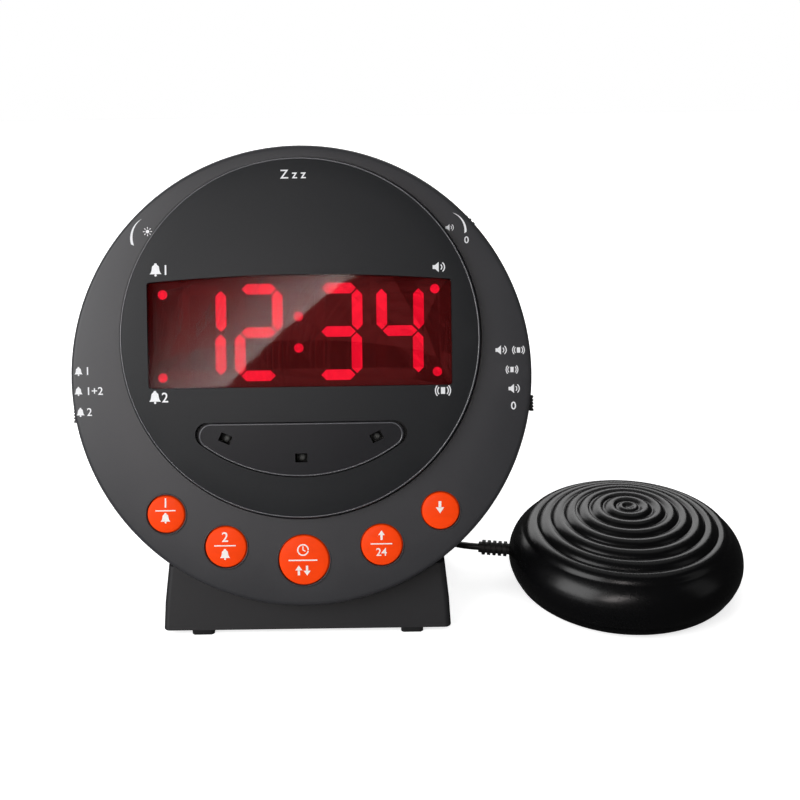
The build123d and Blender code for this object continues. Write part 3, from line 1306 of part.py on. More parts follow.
DOME_TOP = SHAKER_SHOULDER_HEIGHT + RIPPLE_DOME_DROP
SHAKER_FLOOR_TOP = SHAKER_BASE_HEIGHT + SHAKER_FLOOR
SHAKER_SCREW_PLACES = [on_circle(SHAKER_SCREW_CIRCLE, angle) for angle in SHAKER_SCREW_ANGLES]
SHAKER_SCREW_SEAT = PAD_THICKNESS + SHAKER_SCREW_HEAD_HEIGHT
SHAKER_SCREW_LENGTH = SHAKER_BOSS_GAP_HEIGHT - SHAKER_SCREW_SEAT + SHAKER_SCREW_BITE
LIP_RADIUS = SHAKER_SPLIT_RADIUS - SHAKER_WALL - FIT_GAP
MOTOR_END = MOTOR_START + MOTOR_LENGTH
BRACKET_MIDDLE = (MOTOR_START + MOTOR_END) / 2
BRACKET_TOP = MOTOR_HEIGHT - BRACKET_BELOW_AXIS
STRAP_INNER = MOTOR_RADIUS + RUNNING_GAP
STRAP_SCREW_REACH = STRAP_INNER + STRAP_THICKNESS + STRAP_EAR / 2
STRAP_SCREW_PLACES = [(BRACKET_MIDDLE, side * STRAP_SCREW_REACH) for side in (-1, 1)]


def dome_height(radius):
    """Height of the valleys of the ripples at a radius."""
    return DOME_TOP - RIPPLE_DOME_DROP * (radius / SHAKER_SHOULDER_RADIUS) ** 2


def ripple_arcs():
    """The rippled top from the shoulder to the middle: crests, a raised rim and a dimple."""
    pitch = (SHAKER_SHOULDER_RADIUS - RIPPLE_CENTRE_RADIUS) / RIPPLE_COUNT
    arcs = []
    for i in range(RIPPLE_COUNT):
        outer = SHAKER_SHOULDER_RADIUS - i * pitch
        inner = outer - pitch
        middle = (outer + inner) / 2
        arcs.append(ThreePointArc((outer, dome_height(outer)),
                                  (middle, dome_height(middle) + RIPPLE_RISE),
                                  (inner, dome_height(inner))))
    valley = dome_height(RIPPLE_CENTRE_RADIUS)
    lip = (BOSS_LIP_RADIUS, valley + BOSS_RISE - BOSS_DIMPLE)
    arcs.append(ThreePointArc((RIPPLE_CENTRE_RADIUS, valley), (BOSS_RIM_RADIUS, valley + BOSS_RISE), lip))
    arcs.append(TangentArc((0, lip[1] - BOSS_DIMPLE), lip, tangent=(1, 0)))
    return arcs, lip[1] - BOSS_DIMPLE


def shaker_flank(inset, low):
    """The side from the split to the shoulder, shrunk by an inset."""
    bulge = SHAKER_RADIUS - inset
    shoulder = (SHAKER_SHOULDER_RADIUS - inset / 2, SHAKER_SHOULDER_HEIGHT - inset)
    base = (SHAKER_SPLIT_RADIUS - inset, low)
    return [TangentArc((bulge, SHAKER_BULGE_HEIGHT), base, tangent=(0, -1)),
            TangentArc((bulge, SHAKER_BULGE_HEIGHT), shoulder, tangent=(0, 1))], base, shoulder


def shaker_top_shell():
    """The rippled upper shell with its screw bosses and the hole for the strain relief."""
    low = SHAKER_SPLIT_HEIGHT + SHAKER_SPLIT_GAP
    flank, base, shoulder = shaker_flank(0, low)
    ripples, centre = ripple_arcs()
    outer = turned([Line((0, low), base)] + flank + ripples + [Line((0, centre), (0, low))])
    under = low - OVERRUN
    flank, base, shoulder = shaker_flank(SHAKER_WALL, under)
    crown = DOME_TOP - SHAKER_WALL
    inner = turned([Line((0, under), base)] + flank
                   + [TangentArc((0, crown), shoulder, tangent=(1, 0)), Line((0, crown), (0, under))])
    shell = outer - inner
    for place in SHAKER_SCREW_PLACES:
        shell += outer & rod(SHAKER_BOSS_RADIUS, SHAKER_BOSS_GAP_HEIGHT, DOME_TOP, place)
        shell -= rod(SHAKER_SCREW_RADIUS + PILOT_CLEARANCE, SHAKER_BOSS_GAP_HEIGHT - OVERRUN,
                     SHAKER_BOSS_GAP_HEIGHT + SHAKER_SCREW_BITE + FIT_GAP, place)
    return shell - relief_frame(rod(RELIEF_CORE_RADIUS + FIT_GAP / 2, -SHAKER_RADIUS / 2, SHAKER_RADIUS))


def shaker_bottom_shell():
    """The lower shell with its floor, its locating lip, its bosses and the seat of the pad."""
    base = SHAKER_BASE_RADIUS
    low = SHAKER_BASE_HEIGHT
    top = SHAKER_SPLIT_HEIGHT
    edge = SHAKER_SPLIT_RADIUS - SHAKER_SPLIT_INSET
    outer = turned([Line((0, low), (base, low)), TangentArc((base, low), (edge, top), tangent=(1, 0)),
                    Line((edge, top), (0, top)), Line((0, top), (0, low))])
    shell = outer - rod(LIP_RADIUS - SHAKER_LIP_WALL, SHAKER_FLOOR_TOP, top + OVERRUN)
    shell += pipe(LIP_RADIUS, LIP_RADIUS - SHAKER_LIP_WALL, SHAKER_FLOOR_TOP, top + SHAKER_LIP_HEIGHT)
    shell -= pipe(PAD_OUTER_RADIUS + FIT_GAP, PAD_INNER_RADIUS - FIT_GAP, 0, PAD_THICKNESS)
    for place in SHAKER_SCREW_PLACES:
        shell += rod(SHAKER_BOSS_RADIUS, PAD_THICKNESS, SHAKER_BOSS_GAP_HEIGHT, place)
        shell -= rod(SHAKER_SCREW_HEAD_RADIUS + FIT_GAP, 0, SHAKER_SCREW_SEAT, place)
        shell -= rod(SHAKER_SCREW_RADIUS + FIT_GAP, 0, SHAKER_BOSS_GAP_HEIGHT + OVERRUN, place)
    return shell - relief_frame(rod(RELIEF_COLLAR_RADIUS + FIT_GAP, -SHAKER_RADIUS / 2, SHAKER_RADIUS))


def shaker_pad():
    return pipe(PAD_OUTER_RADIUS, PAD_INNER_RADIUS, 0, PAD_THICKNESS)


def shaker_screws():
    """Five alike: three up through the lower shell, and two down through the motor's strap."""
    screw = cross_screw(SHAKER_SCREW_RADIUS, SHAKER_SCREW_HEAD_RADIUS, SHAKER_SCREW_HEAD_HEIGHT,
                        SHAKER_SCREW_LENGTH)
    screws = [Pos(*place, PAD_THICKNESS) * Rot(180, 0, 0) * screw for place in SHAKER_SCREW_PLACES]
    top = BRACKET_TOP + STRAP_THICKNESS + SHAKER_SCREW_HEAD_HEIGHT
    return screws + [Pos(*place, top) * screw for place in STRAP_SCREW_PLACES]


# Motor, its mounting and its weight, along the shaker's X axis

WEIGHT_START = MOTOR_END + MOTOR_END_LENGTH + WEIGHT_GAP
WEIGHT_END = WEIGHT_START + WEIGHT_THICKNESS


def along_x(shape):
    """Turn a solid drawn along Z so that it lies along X at the motor's height."""
    return Pos(0, 0, MOTOR_HEIGHT) * Rot(0, 90, 0) * shape


def shaker_motor():
    can = rod(MOTOR_RADIUS, MOTOR_START, MOTOR_END)
    can = fillet(can.edges().filter_by(GeomType.CIRCLE), MOTOR_END_LENGTH / 2)
    can += rod(MOTOR_END_RADIUS, MOTOR_END, MOTOR_END + MOTOR_END_LENGTH)
    can -= rod(SHAFT_RADIUS + RUNNING_GAP, MOTOR_END - SHAFT_DEPTH_IN_MOTOR, MOTOR_END + 2 * OVERRUN)
    return along_x(can)


def motor_shaft():
    return along_x(rod(SHAFT_RADIUS, MOTOR_END - SHAFT_DEPTH_IN_MOTOR + FIT_GAP, WEIGHT_END))


def eccentric_weight():
    """A half disc on a hub, hanging below the shaft at rest."""
    half = rod(WEIGHT_RADIUS, WEIGHT_START, WEIGHT_END)
    half &= box_between((0, -WEIGHT_RADIUS, WEIGHT_START), (WEIGHT_RADIUS, WEIGHT_RADIUS, WEIGHT_END))
    hub = rod(WEIGHT_HUB_RADIUS, WEIGHT_START, WEIGHT_END)
    bore = rod(SHAFT_RADIUS, WEIGHT_START - OVERRUN, WEIGHT_END + OVERRUN)
    return along_x(half + hub - bore)


def motor_bracket():
    """The saddle that the motor lies in, with a post for each of the strap's screws."""
    block = box_between((BRACKET_MIDDLE - BRACKET_LENGTH / 2, -STRAP_INNER, SHAKER_FLOOR_TOP),
                        (BRACKET_MIDDLE + BRACKET_LENGTH / 2, STRAP_INNER, BRACKET_TOP))
    for place in STRAP_SCREW_PLACES:
        near, far = sorted((0, place[1]))
        block += box_between((BRACKET_MIDDLE - STRAP_WIDTH / 2, near, SHAKER_FLOOR_TOP),
                             (BRACKET_MIDDLE + STRAP_WIDTH / 2, far, BRACKET_TOP))
        block += rod(STRAP_WIDTH / 2, SHAKER_FLOOR_TOP, BRACKET_TOP, place)
        block -= rod(SHAKER_SCREW_RADIUS + PILOT_CLEARANCE,
                     BRACKET_TOP + STRAP_THICKNESS - SHAKER_SCREW_LENGTH - FIT_GAP,
                     BRACKET_TOP + OVERRUN, place)
    return block - along_x(rod(STRAP_INNER, MOTOR_START - OVERRUN, MOTOR_END + OVERRUN))


def motor_strap():
    """The metal strap over the motor, with an ear on each side."""
    outer = STRAP_INNER + STRAP_THICKNESS
    low = BRACKET_MIDDLE - STRAP_WIDTH / 2
    high = BRACKET_MIDDLE + STRAP_WIDTH / 2
    arch = along_x(pipe(outer, STRAP_INNER, low, high))
    arch &= box_between((low, -outer, MOTOR_HEIGHT), (high, outer, MOTOR_HEIGHT + outer))
    for side in (-1, 1):
        near, far = sorted((side * STRAP_INNER, side * outer))
        arch += box_between((low, near, BRACKET_TOP), (high, far, MOTOR_HEIGHT))
        near, far = sorted((side * STRAP_INNER, side * (outer + STRAP_EAR)))
        arch += box_between((low, near, BRACKET_TOP), (high, far, BRACKET_TOP + STRAP_THICKNESS))
    for place in STRAP_SCREW_PLACES:
        arch -= rod(SHAKER_SCREW_RADIUS + FIT_GAP, BRACKET_TOP - OVERRUN,
                    BRACKET_TOP + STRAP_THICKNESS + OVERRUN, place)
    return arch


# Strain relief of the shaker's lead

def relief_frame(shape):
    """Turn a solid drawn along Z so that it points out of the shaker along its lead."""
    turn = math.radians(RELIEF_HEADING)
    out = (math.cos(turn), math.sin(turn), 0)
    root = (SHAKER_RADIUS * out[0], SHAKER_RADIUS * out[1], RELIEF_HEIGHT)
    return Plane(origin=root, z_dir=out).location * shape


def strain_relief():
    """A collar inside the shell, a neck through its wall and a tapering ribbed sleeve outside."""
    collar_end = LIP_RADIUS - SHAKER_RADIUS - FIT_GAP
    core, rib = RELIEF_CORE_RADIUS, RELIEF_RIB_RADIUS
    sleeve = rod(RELIEF_COLLAR_RADIUS, collar_end - RELIEF_COLLAR_THICKNESS, collar_end)
    sleeve += rod(core, collar_end, RELIEF_LENGTH)
    pitch = (RELIEF_LENGTH - RELIEF_TIP_LENGTH) / RELIEF_RIB_COUNT
    for i in range(RELIEF_RIB_COUNT):
        start = pitch * (i + 1 - RELIEF_RIB_SHARE)
        sleeve += rod(rib, start, start + pitch * RELIEF_RIB_SHARE)
    return relief_frame(sleeve)


# Lead of the shaker

def tube_radii(points):
    """The arc at each corner of a route, which takes a share of the shorter run beside it."""
    radii = []
    for before, here, after in zip(points, points[1:], points[2:]):
        run_in = Vector(*here) - Vector(*before)
        run_out = Vector(*after) - Vector(*here)
        turn = math.radians(run_in.get_angle(run_out))
        radii.append(CORD_ARC_SHARE * min(run_in.length, run_out.length) / math.tan(turn / 2))
    return radii


def tube(points):
    """A round tube along straight runs joined by tangent arcs."""
    radii = tube_radii(points)
    path = FilletPolyline(*points, radius=radii)
    start = Plane(origin=points[0], z_dir=Vector(*points[1]) - Vector(*points[0]))
    solid = sweep(start * Circle(CORD_DIAMETER / 2), path=path)
    expected = math.pi * (CORD_DIAMETER / 2) ** 2 * path.length
    print("radii", [round(radius, 1) for radius in radii], "length", round(path.length, 1),
          "volume share", round(solid.volume / expected, 4))
    return solid


def lead_start():
    """Where the lead leaves the strain relief."""
    turn = math.radians(RELIEF_HEADING)
    reach = SHAKER_RADIUS + RELIEF_LENGTH
    return (SHAKER_X + reach * math.cos(turn), SHAKER_Y + reach * math.sin(turn), RELIEF_HEIGHT)


def from_clock(route):
    """A route in the frame of the part, from its points from under the ring's middle."""
    return [(CLOCK_X + x, CLOCK_Y + y, z) for x, y, z in route]


def coil_stations():
    """The coil's half-turn stations: in, out, in and out again, a layer higher each time."""
    radius = COIL_OUTER_RADIUS
    height = COIL_LIFT + CORD_DIAMETER / 2
    stations = [(radius, height)]
    half_pitch = COIL_PITCH / 2
    for layer in range(COIL_LAYERS):
        way = -1 if layer % 2 == 0 else 1
        for step in range(COIL_HALF_TURNS_IN_LAYER):
            first = layer > 0 and step == 0
            last = layer < COIL_LAYERS - 1 and step == COIL_HALF_TURNS_IN_LAYER - 1
            radius += way * (half_pitch + COIL_REVERSAL_STEP * (first + last))
            stations.append((radius, height))
        if layer < COIL_LAYERS - 1:
            height += COIL_LAYER_STEP
            stations.append((radius, height))
    stations.append((radius + half_pitch, height))
    return stations


def coil_path():
    """The coil's centre line: half turns of two quarter arcs each, the last one without its end."""
    points, tangents = [], []
    for k, (radius, height) in enumerate(coil_stations()):
        turn = math.radians(COIL_START_ANGLE) - k * math.pi
        points.append(Vector(COIL_CENTRE[0] + radius * math.cos(turn),
                             COIL_CENTRE[1] + radius * math.sin(turn), height))
        tangents.append(Vector(math.sin(turn), -math.cos(turn), 0))
    edges = []
    for start, end, tangent in zip(points, points[1:], tangents):
        across = end - start
        top = (start + end) * 0.5 + tangent * (across.length / 2)
        edges.append(TangentArc(start, top, tangent=tangent))
        edges.append(TangentArc(top, end, tangent=across))
    return edges[:-1]


def print_coil_gap(edges):
    """Print the coil's least gap to itself, measured on points along its centre line."""
    marks, run = [], 0.0
    steps = 12
    for edge in edges:
        for i in range(1, steps + 1):
            marks.append((run + edge.length * i / steps, edge.position_at(i / steps)))
        run += edge.length
    least = run
    for i, (here, point) in enumerate(marks):
        for there, other in marks[i + 1:]:
            if there - here > 5 * CORD_DIAMETER:
                least = min(least, (point - other).length)
    print("coil length", round(run, 1), "least gap", round(least - CORD_DIAMETER, 2))


def shaker_cord_coil():
    edges = coil_path()
    print_coil_gap(edges)
    path = Wire([edge.edge() for edge in edges])
    start = Plane(origin=path.position_at(0), z_dir=path.tangent_at(0))
    return sweep(start * Circle(CORD_DIAMETER / 2), path=path)


def coil_ends():
    edges = coil_path()
    return tuple(edges[0].position_at(0)), tuple(edges[-1].position_at(1))


def shaker_cord():
    return tube([lead_start(), *from_clock(CORD_ROUTE), coil_ends()[0]])


def plug_cord():
    tail = (JACK_X, STAND_BACK_Y + PLUG_GRIP_LENGTH + PLUG_TAIL_LENGTH, JACK_HEIGHT)
    return tube([coil_ends()[1], *from_clock(PLUG_ROUTE), tail])


def cord_tie():
    """A flat strap round the coil's bundle, on its left side."""
    stations = coil_stations()
    half = CORD_DIAMETER / 2 + TIE_GAP
    inner = min(radius for radius, _ in stations) - half
    outer = max(radius for radius, _ in stations) + half
    low = min(height for _, height in stations) - half
    high = max(height for _, height in stations) + half
    strap = box_between((-outer - TIE_THICKNESS, -TIE_WIDTH / 2, low - TIE_THICKNESS),
                        (-inner + TIE_THICKNESS, TIE_WIDTH / 2, high + TIE_THICKNESS))
    strap = fillet(strap.edges().filter_by(Axis.Y), TIE_ROUND)
    strap -= box_between((-outer, -TIE_WIDTH, low), (-inner, TIE_WIDTH, high))
    return Pos(*COIL_CENTRE, 0) * strap


# All pieces by name

def face_pieces():
    """The pieces drawn in the face's own frame."""
    pieces = {
        "front_ring": front_ring(),
        "face_disc": face_disc(),
        "display_lens": display_lens(),
        "display_module": display_module(),
        "lit_segments": segment_solids(True) + dot_solids(),
        "unlit_segments": segment_solids(False),
        "alert_light_panel": alert_light_panel(),
        "alert_leds": alert_leds(),
        "button_switches": button_switches(),
        "button_board": button_board(),
        "board_screws": board_screws(),
        "main_board": main_board(),
        "controller_chip": controller_chip(),
        "capacitors": capacitors(),
        "rear_case": rear_case(),
        "case_screws": case_screws(),
        "snooze_bar": snooze_bar(),
        "snooze_switch": snooze_switch(),
        "snooze_board": snooze_board(),
        "backup_battery": backup_battery(),
        "battery_clip": battery_clip(),
        "battery_door": battery_door(),
        "speaker_frame": speaker_frame(),
        "speaker_magnet": speaker_magnet(),
        "speaker_cone": speaker_cone(),
        "power_inlet": power_inlet(),
    }
    for name, radius, place in zip(BUTTON_NAMES, BUTTON_RADII, BUTTON_PLACES):
        pieces[name] = button_cap(radius, place)
    for name, place in WHEEL_PLACES.items():
        pieces[name + "_wheel"] = wheel(place)
        pieces[name + "_potentiometer"] = potentiometer(place)
    for name in SLIDE_SIDES:
        pieces[name + "_switch"] = slide_switch_body(name)
        pieces[name + "_knob"] = slide_knob(name)
    return pieces


def stand_pieces():
    """The pieces drawn in the frame of the part."""
    return {
        "stand": stand(),
        "stand_cover": stand_cover(),
        "stand_screws": stand_screws(),
        "cover_screws": cover_screws(),
        "rubber_feet": rubber_feet(),
        "shaker_jack": shaker_jack(),
        "shaker_plug": shaker_plug(),
        "shaker_cord": shaker_cord(),
        "shaker_cord_coil": shaker_cord_coil(),
        "plug_cord": plug_cord(),
        "cord_tie": cord_tie(),
    }


def shaker_pieces():
    """The pieces drawn about the shaker's own middle."""
    return {
        "shaker_top_shell": shaker_top_shell(),
        "shaker_bottom_shell": shaker_bottom_shell(),
        "shaker_pad": shaker_pad(),
        "shaker_screws": shaker_screws(),
        "shaker_motor": shaker_motor(),
        "motor_shaft": motor_shaft(),
        "eccentric_weight": eccentric_weight(),
        "motor_bracket": motor_bracket(),
        "motor_strap": motor_strap(),
        "strain_relief": strain_relief(),
    }


def whole(piece, location):
    """One shape for a node: the piece's solids, moved to their place."""
    solids = [solid for shape in (piece if isinstance(piece, list) else [piece])
              for solid in shape.solids()]
    moved = [location * solid for solid in solids]
    return moved[0] if len(moved) == 1 else Compound(children=moved)


def all_pieces():
    """Every node's shape by its name, in the frame of the part."""
    nodes = {name: whole(piece, FACE.location) for name, piece in face_pieces().items()}
    nodes.update({name: whole(piece, Location()) for name, piece in stand_pieces().items()})
    shaker_place = Pos(SHAKER_X, SHAKER_Y, 0)
    nodes.update({name: whole(piece, shaker_place) for name, piece in shaker_pieces().items()})
    return nodes


PIECES = all_pieces()
os.makedirs("parts", exist_ok=True)
for node_name, node_shape in PIECES.items():
    export_step(node_shape, f"parts/{node_name}.step")
print("nodes", len(PIECES))
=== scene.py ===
"""Looks of a bed shaker alarm clock: a round tilted clock on a stand, and a rippled disc on a lead.

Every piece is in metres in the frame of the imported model. Pieces of the clock's face are laid out in
the face's own plane, with u to the right and v up along the face, in metres from the ring's middle.
"""

import json
import logging
import math
from dataclasses import dataclass, field
from enum import Enum
from typing import Any, Callable, Iterable, Optional, Sequence, Union

import bmesh
import bpy
from mathutils import Euler, Matrix, Vector
from mathutils.bvhtree import BVHTree

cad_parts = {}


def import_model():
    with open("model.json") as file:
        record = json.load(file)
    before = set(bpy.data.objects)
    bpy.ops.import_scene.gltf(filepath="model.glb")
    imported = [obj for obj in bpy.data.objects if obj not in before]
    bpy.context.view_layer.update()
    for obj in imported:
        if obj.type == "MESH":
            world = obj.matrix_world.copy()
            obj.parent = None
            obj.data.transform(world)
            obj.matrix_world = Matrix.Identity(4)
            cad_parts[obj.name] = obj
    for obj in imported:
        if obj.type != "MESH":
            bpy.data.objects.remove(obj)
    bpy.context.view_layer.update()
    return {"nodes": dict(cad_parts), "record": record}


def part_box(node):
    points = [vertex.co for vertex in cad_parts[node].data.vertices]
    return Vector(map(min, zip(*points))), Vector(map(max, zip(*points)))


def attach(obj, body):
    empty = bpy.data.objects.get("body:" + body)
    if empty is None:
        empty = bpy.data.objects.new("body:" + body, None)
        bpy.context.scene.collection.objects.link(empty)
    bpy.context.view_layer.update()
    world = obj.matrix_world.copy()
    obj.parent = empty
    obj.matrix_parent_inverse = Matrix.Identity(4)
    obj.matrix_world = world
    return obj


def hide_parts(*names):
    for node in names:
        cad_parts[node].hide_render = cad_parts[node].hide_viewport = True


LOG = logging.getLogger("bed_shaker_clock")
PHOTO_SIDE_PX = 800
SENSOR_WIDTH_MM = 36.0
Colour = tuple[float, float, float]
WHITE: Colour = (1.0, 1.0, 1.0)
BLACK: Colour = (0.0, 0.0, 0.0)
SOFT_STEP = (0.3, 0.7)
MIX_SHARE, MIX_FIRST, MIX_SECOND, MIX_RESULT = 0, 6, 7, 2
MERGE_DISTANCE = 1e-6
SLIVER_LENGTH = 1e-7
FAR_OFF = 0.2


def linked(data: bpy.types.ID, name: str) -> bpy.types.Object:
    """Put a mesh, curve, camera or lamp into the scene.

    Args:
        data: What the object holds.
        name: The object's name.

    Returns:
        The object.
    """
    shown = bpy.data.objects.new(name, data)
    bpy.context.scene.collection.objects.link(shown)
    return shown


def piece(data: bpy.types.ID, name: str, body: str, slot: str, *replaced: str) -> bpy.types.Object:
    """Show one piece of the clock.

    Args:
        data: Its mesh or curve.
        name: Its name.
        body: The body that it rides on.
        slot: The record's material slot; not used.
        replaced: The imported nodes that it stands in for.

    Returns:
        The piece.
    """
    shown = linked(data, name)
    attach(shown, body)
    if replaced:
        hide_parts(*replaced)
    LOG.info("%s on %s", name, body)
    return shown


def from_screen(red: int, green: int, blue: int) -> Colour:
    """Turn a screen colour of 0 to 255 into the linear colour that a shader takes.

    Args:
        red: The screen's red value.
        green: The screen's green value.
        blue: The screen's blue value.

    Returns:
        The linear colour.
    """
    def linear(value: int) -> float:
        """One channel, straightened."""
        share = value / 255
        return share / 12.92 if share <= 0.04045 else ((share + 0.055) / 1.055) ** 2.4

    return linear(red), linear(green), linear(blue)


def arithmetic(operation: str) -> tuple[Callable[..., "Wire"], Callable[..., "Wire"]]:
    """Make one operator of a wire.

    Args:
        operation: The Math node's operation.

    Returns:
        The operator, and its reflected form for a number on the left.
    """
    def plain(self: "Wire", other: Any) -> "Wire":
        """The wire first."""
        return self.worked(operation, self, other)

    def reflected(self: "Wire", other: Any) -> "Wire":
        """The wire second."""
        return self.worked(operation, other, self)

    return plain, reflected


class Wire:
    """A value socket in a node tree, with arithmetic that adds Math nodes."""

    def __init__(self, bench: "NodeBench", socket: bpy.types.NodeSocket) -> None:
        """Keep the socket and the bench that it belongs to."""
        self.bench = bench
        self.socket = socket

    def worked(self, operation: str, *values: Any) -> "Wire":
        """Add one Math node.

        Args:
            operation: The Math node's operation.
            values: Its inputs in order, numbers or wires.

        Returns:
            The node's result.
        """
        return self.bench.add("ShaderNodeMath", {"operation": operation}, dict(enumerate(values))).out()

    __add__, __radd__ = arithmetic("ADD")
    __sub__, __rsub__ = arithmetic("SUBTRACT")
    __mul__, __rmul__ = arithmetic("MULTIPLY")

    def within(self, low: float, high: float) -> "Wire":
        """Stretch low to 0 and high to 1, and keep the result between them.

        Args:
            low: The value that becomes 0.
            high: The value that becomes 1.

        Returns:
            The stretched value.
        """
        return self.bench.add("ShaderNodeMapRange", {"clamp": True},
                              {"Value": self, "From Min": low, "From Max": high}).out()


class Part:
    """A node on a bench, with its outputs by name."""

    def __init__(self, bench: "NodeBench", node: bpy.types.Node) -> None:
        """Keep the node and its bench."""
        self.bench = bench
        self.node = node

    def out(self, name: Union[str, int] = 0) -> Wire:
        """One output of the node, the first if no name is given."""
        return Wire(self.bench, self.node.outputs[name])


class NodeBench:
    """A node tree, where every node is made by one method."""

    def __init__(self, tree: bpy.types.NodeTree) -> None:
        """Keep the tree and empty it."""
        self.tree = tree
        tree.nodes.clear()

    def add(self, kind: str, settings: Optional[dict] = None, inputs: Optional[dict] = None) -> Part:
        """Add a node.

        Args:
            kind: The node's type.
            settings: Properties that are set first.
            inputs: Values, colours or wires by the name or number of their socket.

        Returns:
            The new node.
        """
        node = self.tree.nodes.new(kind)
        for key, value in (settings or {}).items():
            setattr(node, key, value)
        for key, value in (inputs or {}).items():
            socket = node.inputs[key]
            if isinstance(value, Wire):
                self.tree.links.new(value.socket, socket)
            elif isinstance(value, tuple) and socket.type == "RGBA" and len(value) == 3:
                socket.default_value = (*value, 1.0)
            else:
                socket.default_value = value
        return Part(self, node)


class Bench(NodeBench):
    """The nodes of a material or of the world."""

    def __init__(self, owner: Union[bpy.types.Material, bpy.types.World]) -> None:
        """Turn on the owner's nodes and empty them."""
        self.owner = owner
        owner.use_nodes = True
        super().__init__(owner.node_tree)

    def place(self) -> Wire:
        """The place on the object, in metres of the part's frame."""
        return self.add("ShaderNodeTexCoord").out("Object")

    def noise(self, size: float, detail: float = 2.0, stretch: Sequence[float] = (1, 1, 1)) -> Wire:
        """A smooth noise over the object.

        Args:
            size: The size of its lumps in metres.
            detail: How much finer noise it holds.
            stretch: How much finer it is along each axis.

        Returns:
            Its value, about 0.5 in the middle.
        """
        turned = self.add("ShaderNodeMapping", None, {"Vector": self.place(), "Scale": tuple(stretch)})
        return self.add("ShaderNodeTexNoise", None,
                        {"Vector": turned.out(), "Scale": 1 / size, "Detail": detail}).out("Fac")

    def blend(self, share: Any, first: Any, second: Any) -> Wire:
        """Mix two colours.

        Args:
            share: How much of the second colour shows, a number or a wire.
            first: The colour at share 0.
            second: The colour at share 1.

        Returns:
            The mixed colour.
        """
        return self.add("ShaderNodeMix", {"data_type": "RGBA"},
                        {MIX_SHARE: share, MIX_FIRST: first, MIX_SECOND: second}).out(MIX_RESULT)

    def relief(self, height: Wire, depth: float, over: Optional[Wire] = None) -> Wire:
        """A bumped normal.

        Args:
            height: The height pattern.
            depth: How deep it is in metres.
            over: A normal that it is laid over.

        Returns:
            The normal.
        """
        inputs: dict = {"Height": height, "Distance": depth, "Strength": 1.0}
        if over is not None:
            inputs["Normal"] = over
        return self.add("ShaderNodeBump", None, inputs).out()

    def surface(self, inputs: dict) -> bpy.types.Material:
        """Finish the material with one Principled shader.

        Args:
            inputs: The shader's values by socket name.

        Returns:
            The finished material.
        """
        shader = self.add("ShaderNodeBsdfPrincipled", None, inputs)
        self.add("ShaderNodeOutputMaterial", None, {"Surface": shader.out()})
        return self.owner


@dataclass(frozen=True)
class Finish:
    """What every finish has: a name and a colour."""

    name: str
    colour: Colour

    def material(self) -> bpy.types.Material:
        """The finish's material, made once."""
        made = bpy.data.materials.get(self.name)
        return made or self.build(Bench(bpy.data.materials.new(self.name)))

    def shade(self, gain: float, lift: float = 0.0) -> Colour:
        """A darker or lighter tone of the colour.

        Args:
            gain: What the colour is multiplied by.
            lift: What is then added to it.

        Returns:
            The tone.
        """
        red, green, blue = self.colour
        return red * gain + lift, green * gain + lift, blue * gain + lift

    def build(self, bench: Bench) -> bpy.types.Material:
        """Build the nodes of the material.

        Args:
            bench: The empty material.

        Returns:
            The finished material.
        """
        return bench.surface({"Base Color": self.colour})


@dataclass(frozen=True)
class MouldedPlastic(Finish):
    """Injection-moulded plastic: a spark-eroded grain, and slow changes of gloss and tone.

    Attributes:
        DRIFT_SIZE: The distance over which tone and gloss drift, about a hand's width.
        SPECK_SIZE: The size of the specks, as a multiple of the grain's.
        SPECK_SHARE: The specks' share in the change of tone.
        BASE_OFFSET: What is taken off the roughness, since drift and specks only add to it.
        roughness: Its middle roughness.
        grain_size: The size of the grain in metres.
        grain_depth: The depth of the grain in metres.
        tone: How far its colour drifts over a hand's width.
        coat: A weak gloss on top.
        shine: How much it mirrors, 0.5 for bare plastic.
    """

    DRIFT_SIZE = 0.045
    SPECK_SIZE = 2.2
    SPECK_SHARE = 0.3
    BASE_OFFSET = 0.03
    roughness: float = 0.5
    grain_size: float = 0.0004
    grain_depth: float = 0.00002
    tone: float = 0.08
    coat: float = 0.0
    shine: float = 0.45

    def build(self, bench: Bench) -> bpy.types.Material:
        """Build the grain, the drift of tone and the gloss."""
        grain = bench.noise(self.grain_size, 3.0)
        drift = bench.noise(self.DRIFT_SIZE, 2.0).within(*SOFT_STEP)
        speck = bench.noise(self.grain_size * self.SPECK_SIZE, 1.0).within(0.35, 0.65)
        colour = bench.blend(drift * (1 - self.SPECK_SHARE) + speck * self.SPECK_SHARE,
                             self.shade(1 - self.tone), self.shade(1 + self.tone))
        rough = self.roughness - self.BASE_OFFSET + drift * 0.04 + speck * 0.03
        return bench.surface({"Base Color": colour, "Roughness": rough, "Coat Weight": self.coat,
                              "Coat Roughness": 0.25, "Specular IOR Level": self.shine,
                              "Normal": bench.relief(grain, self.grain_depth)})


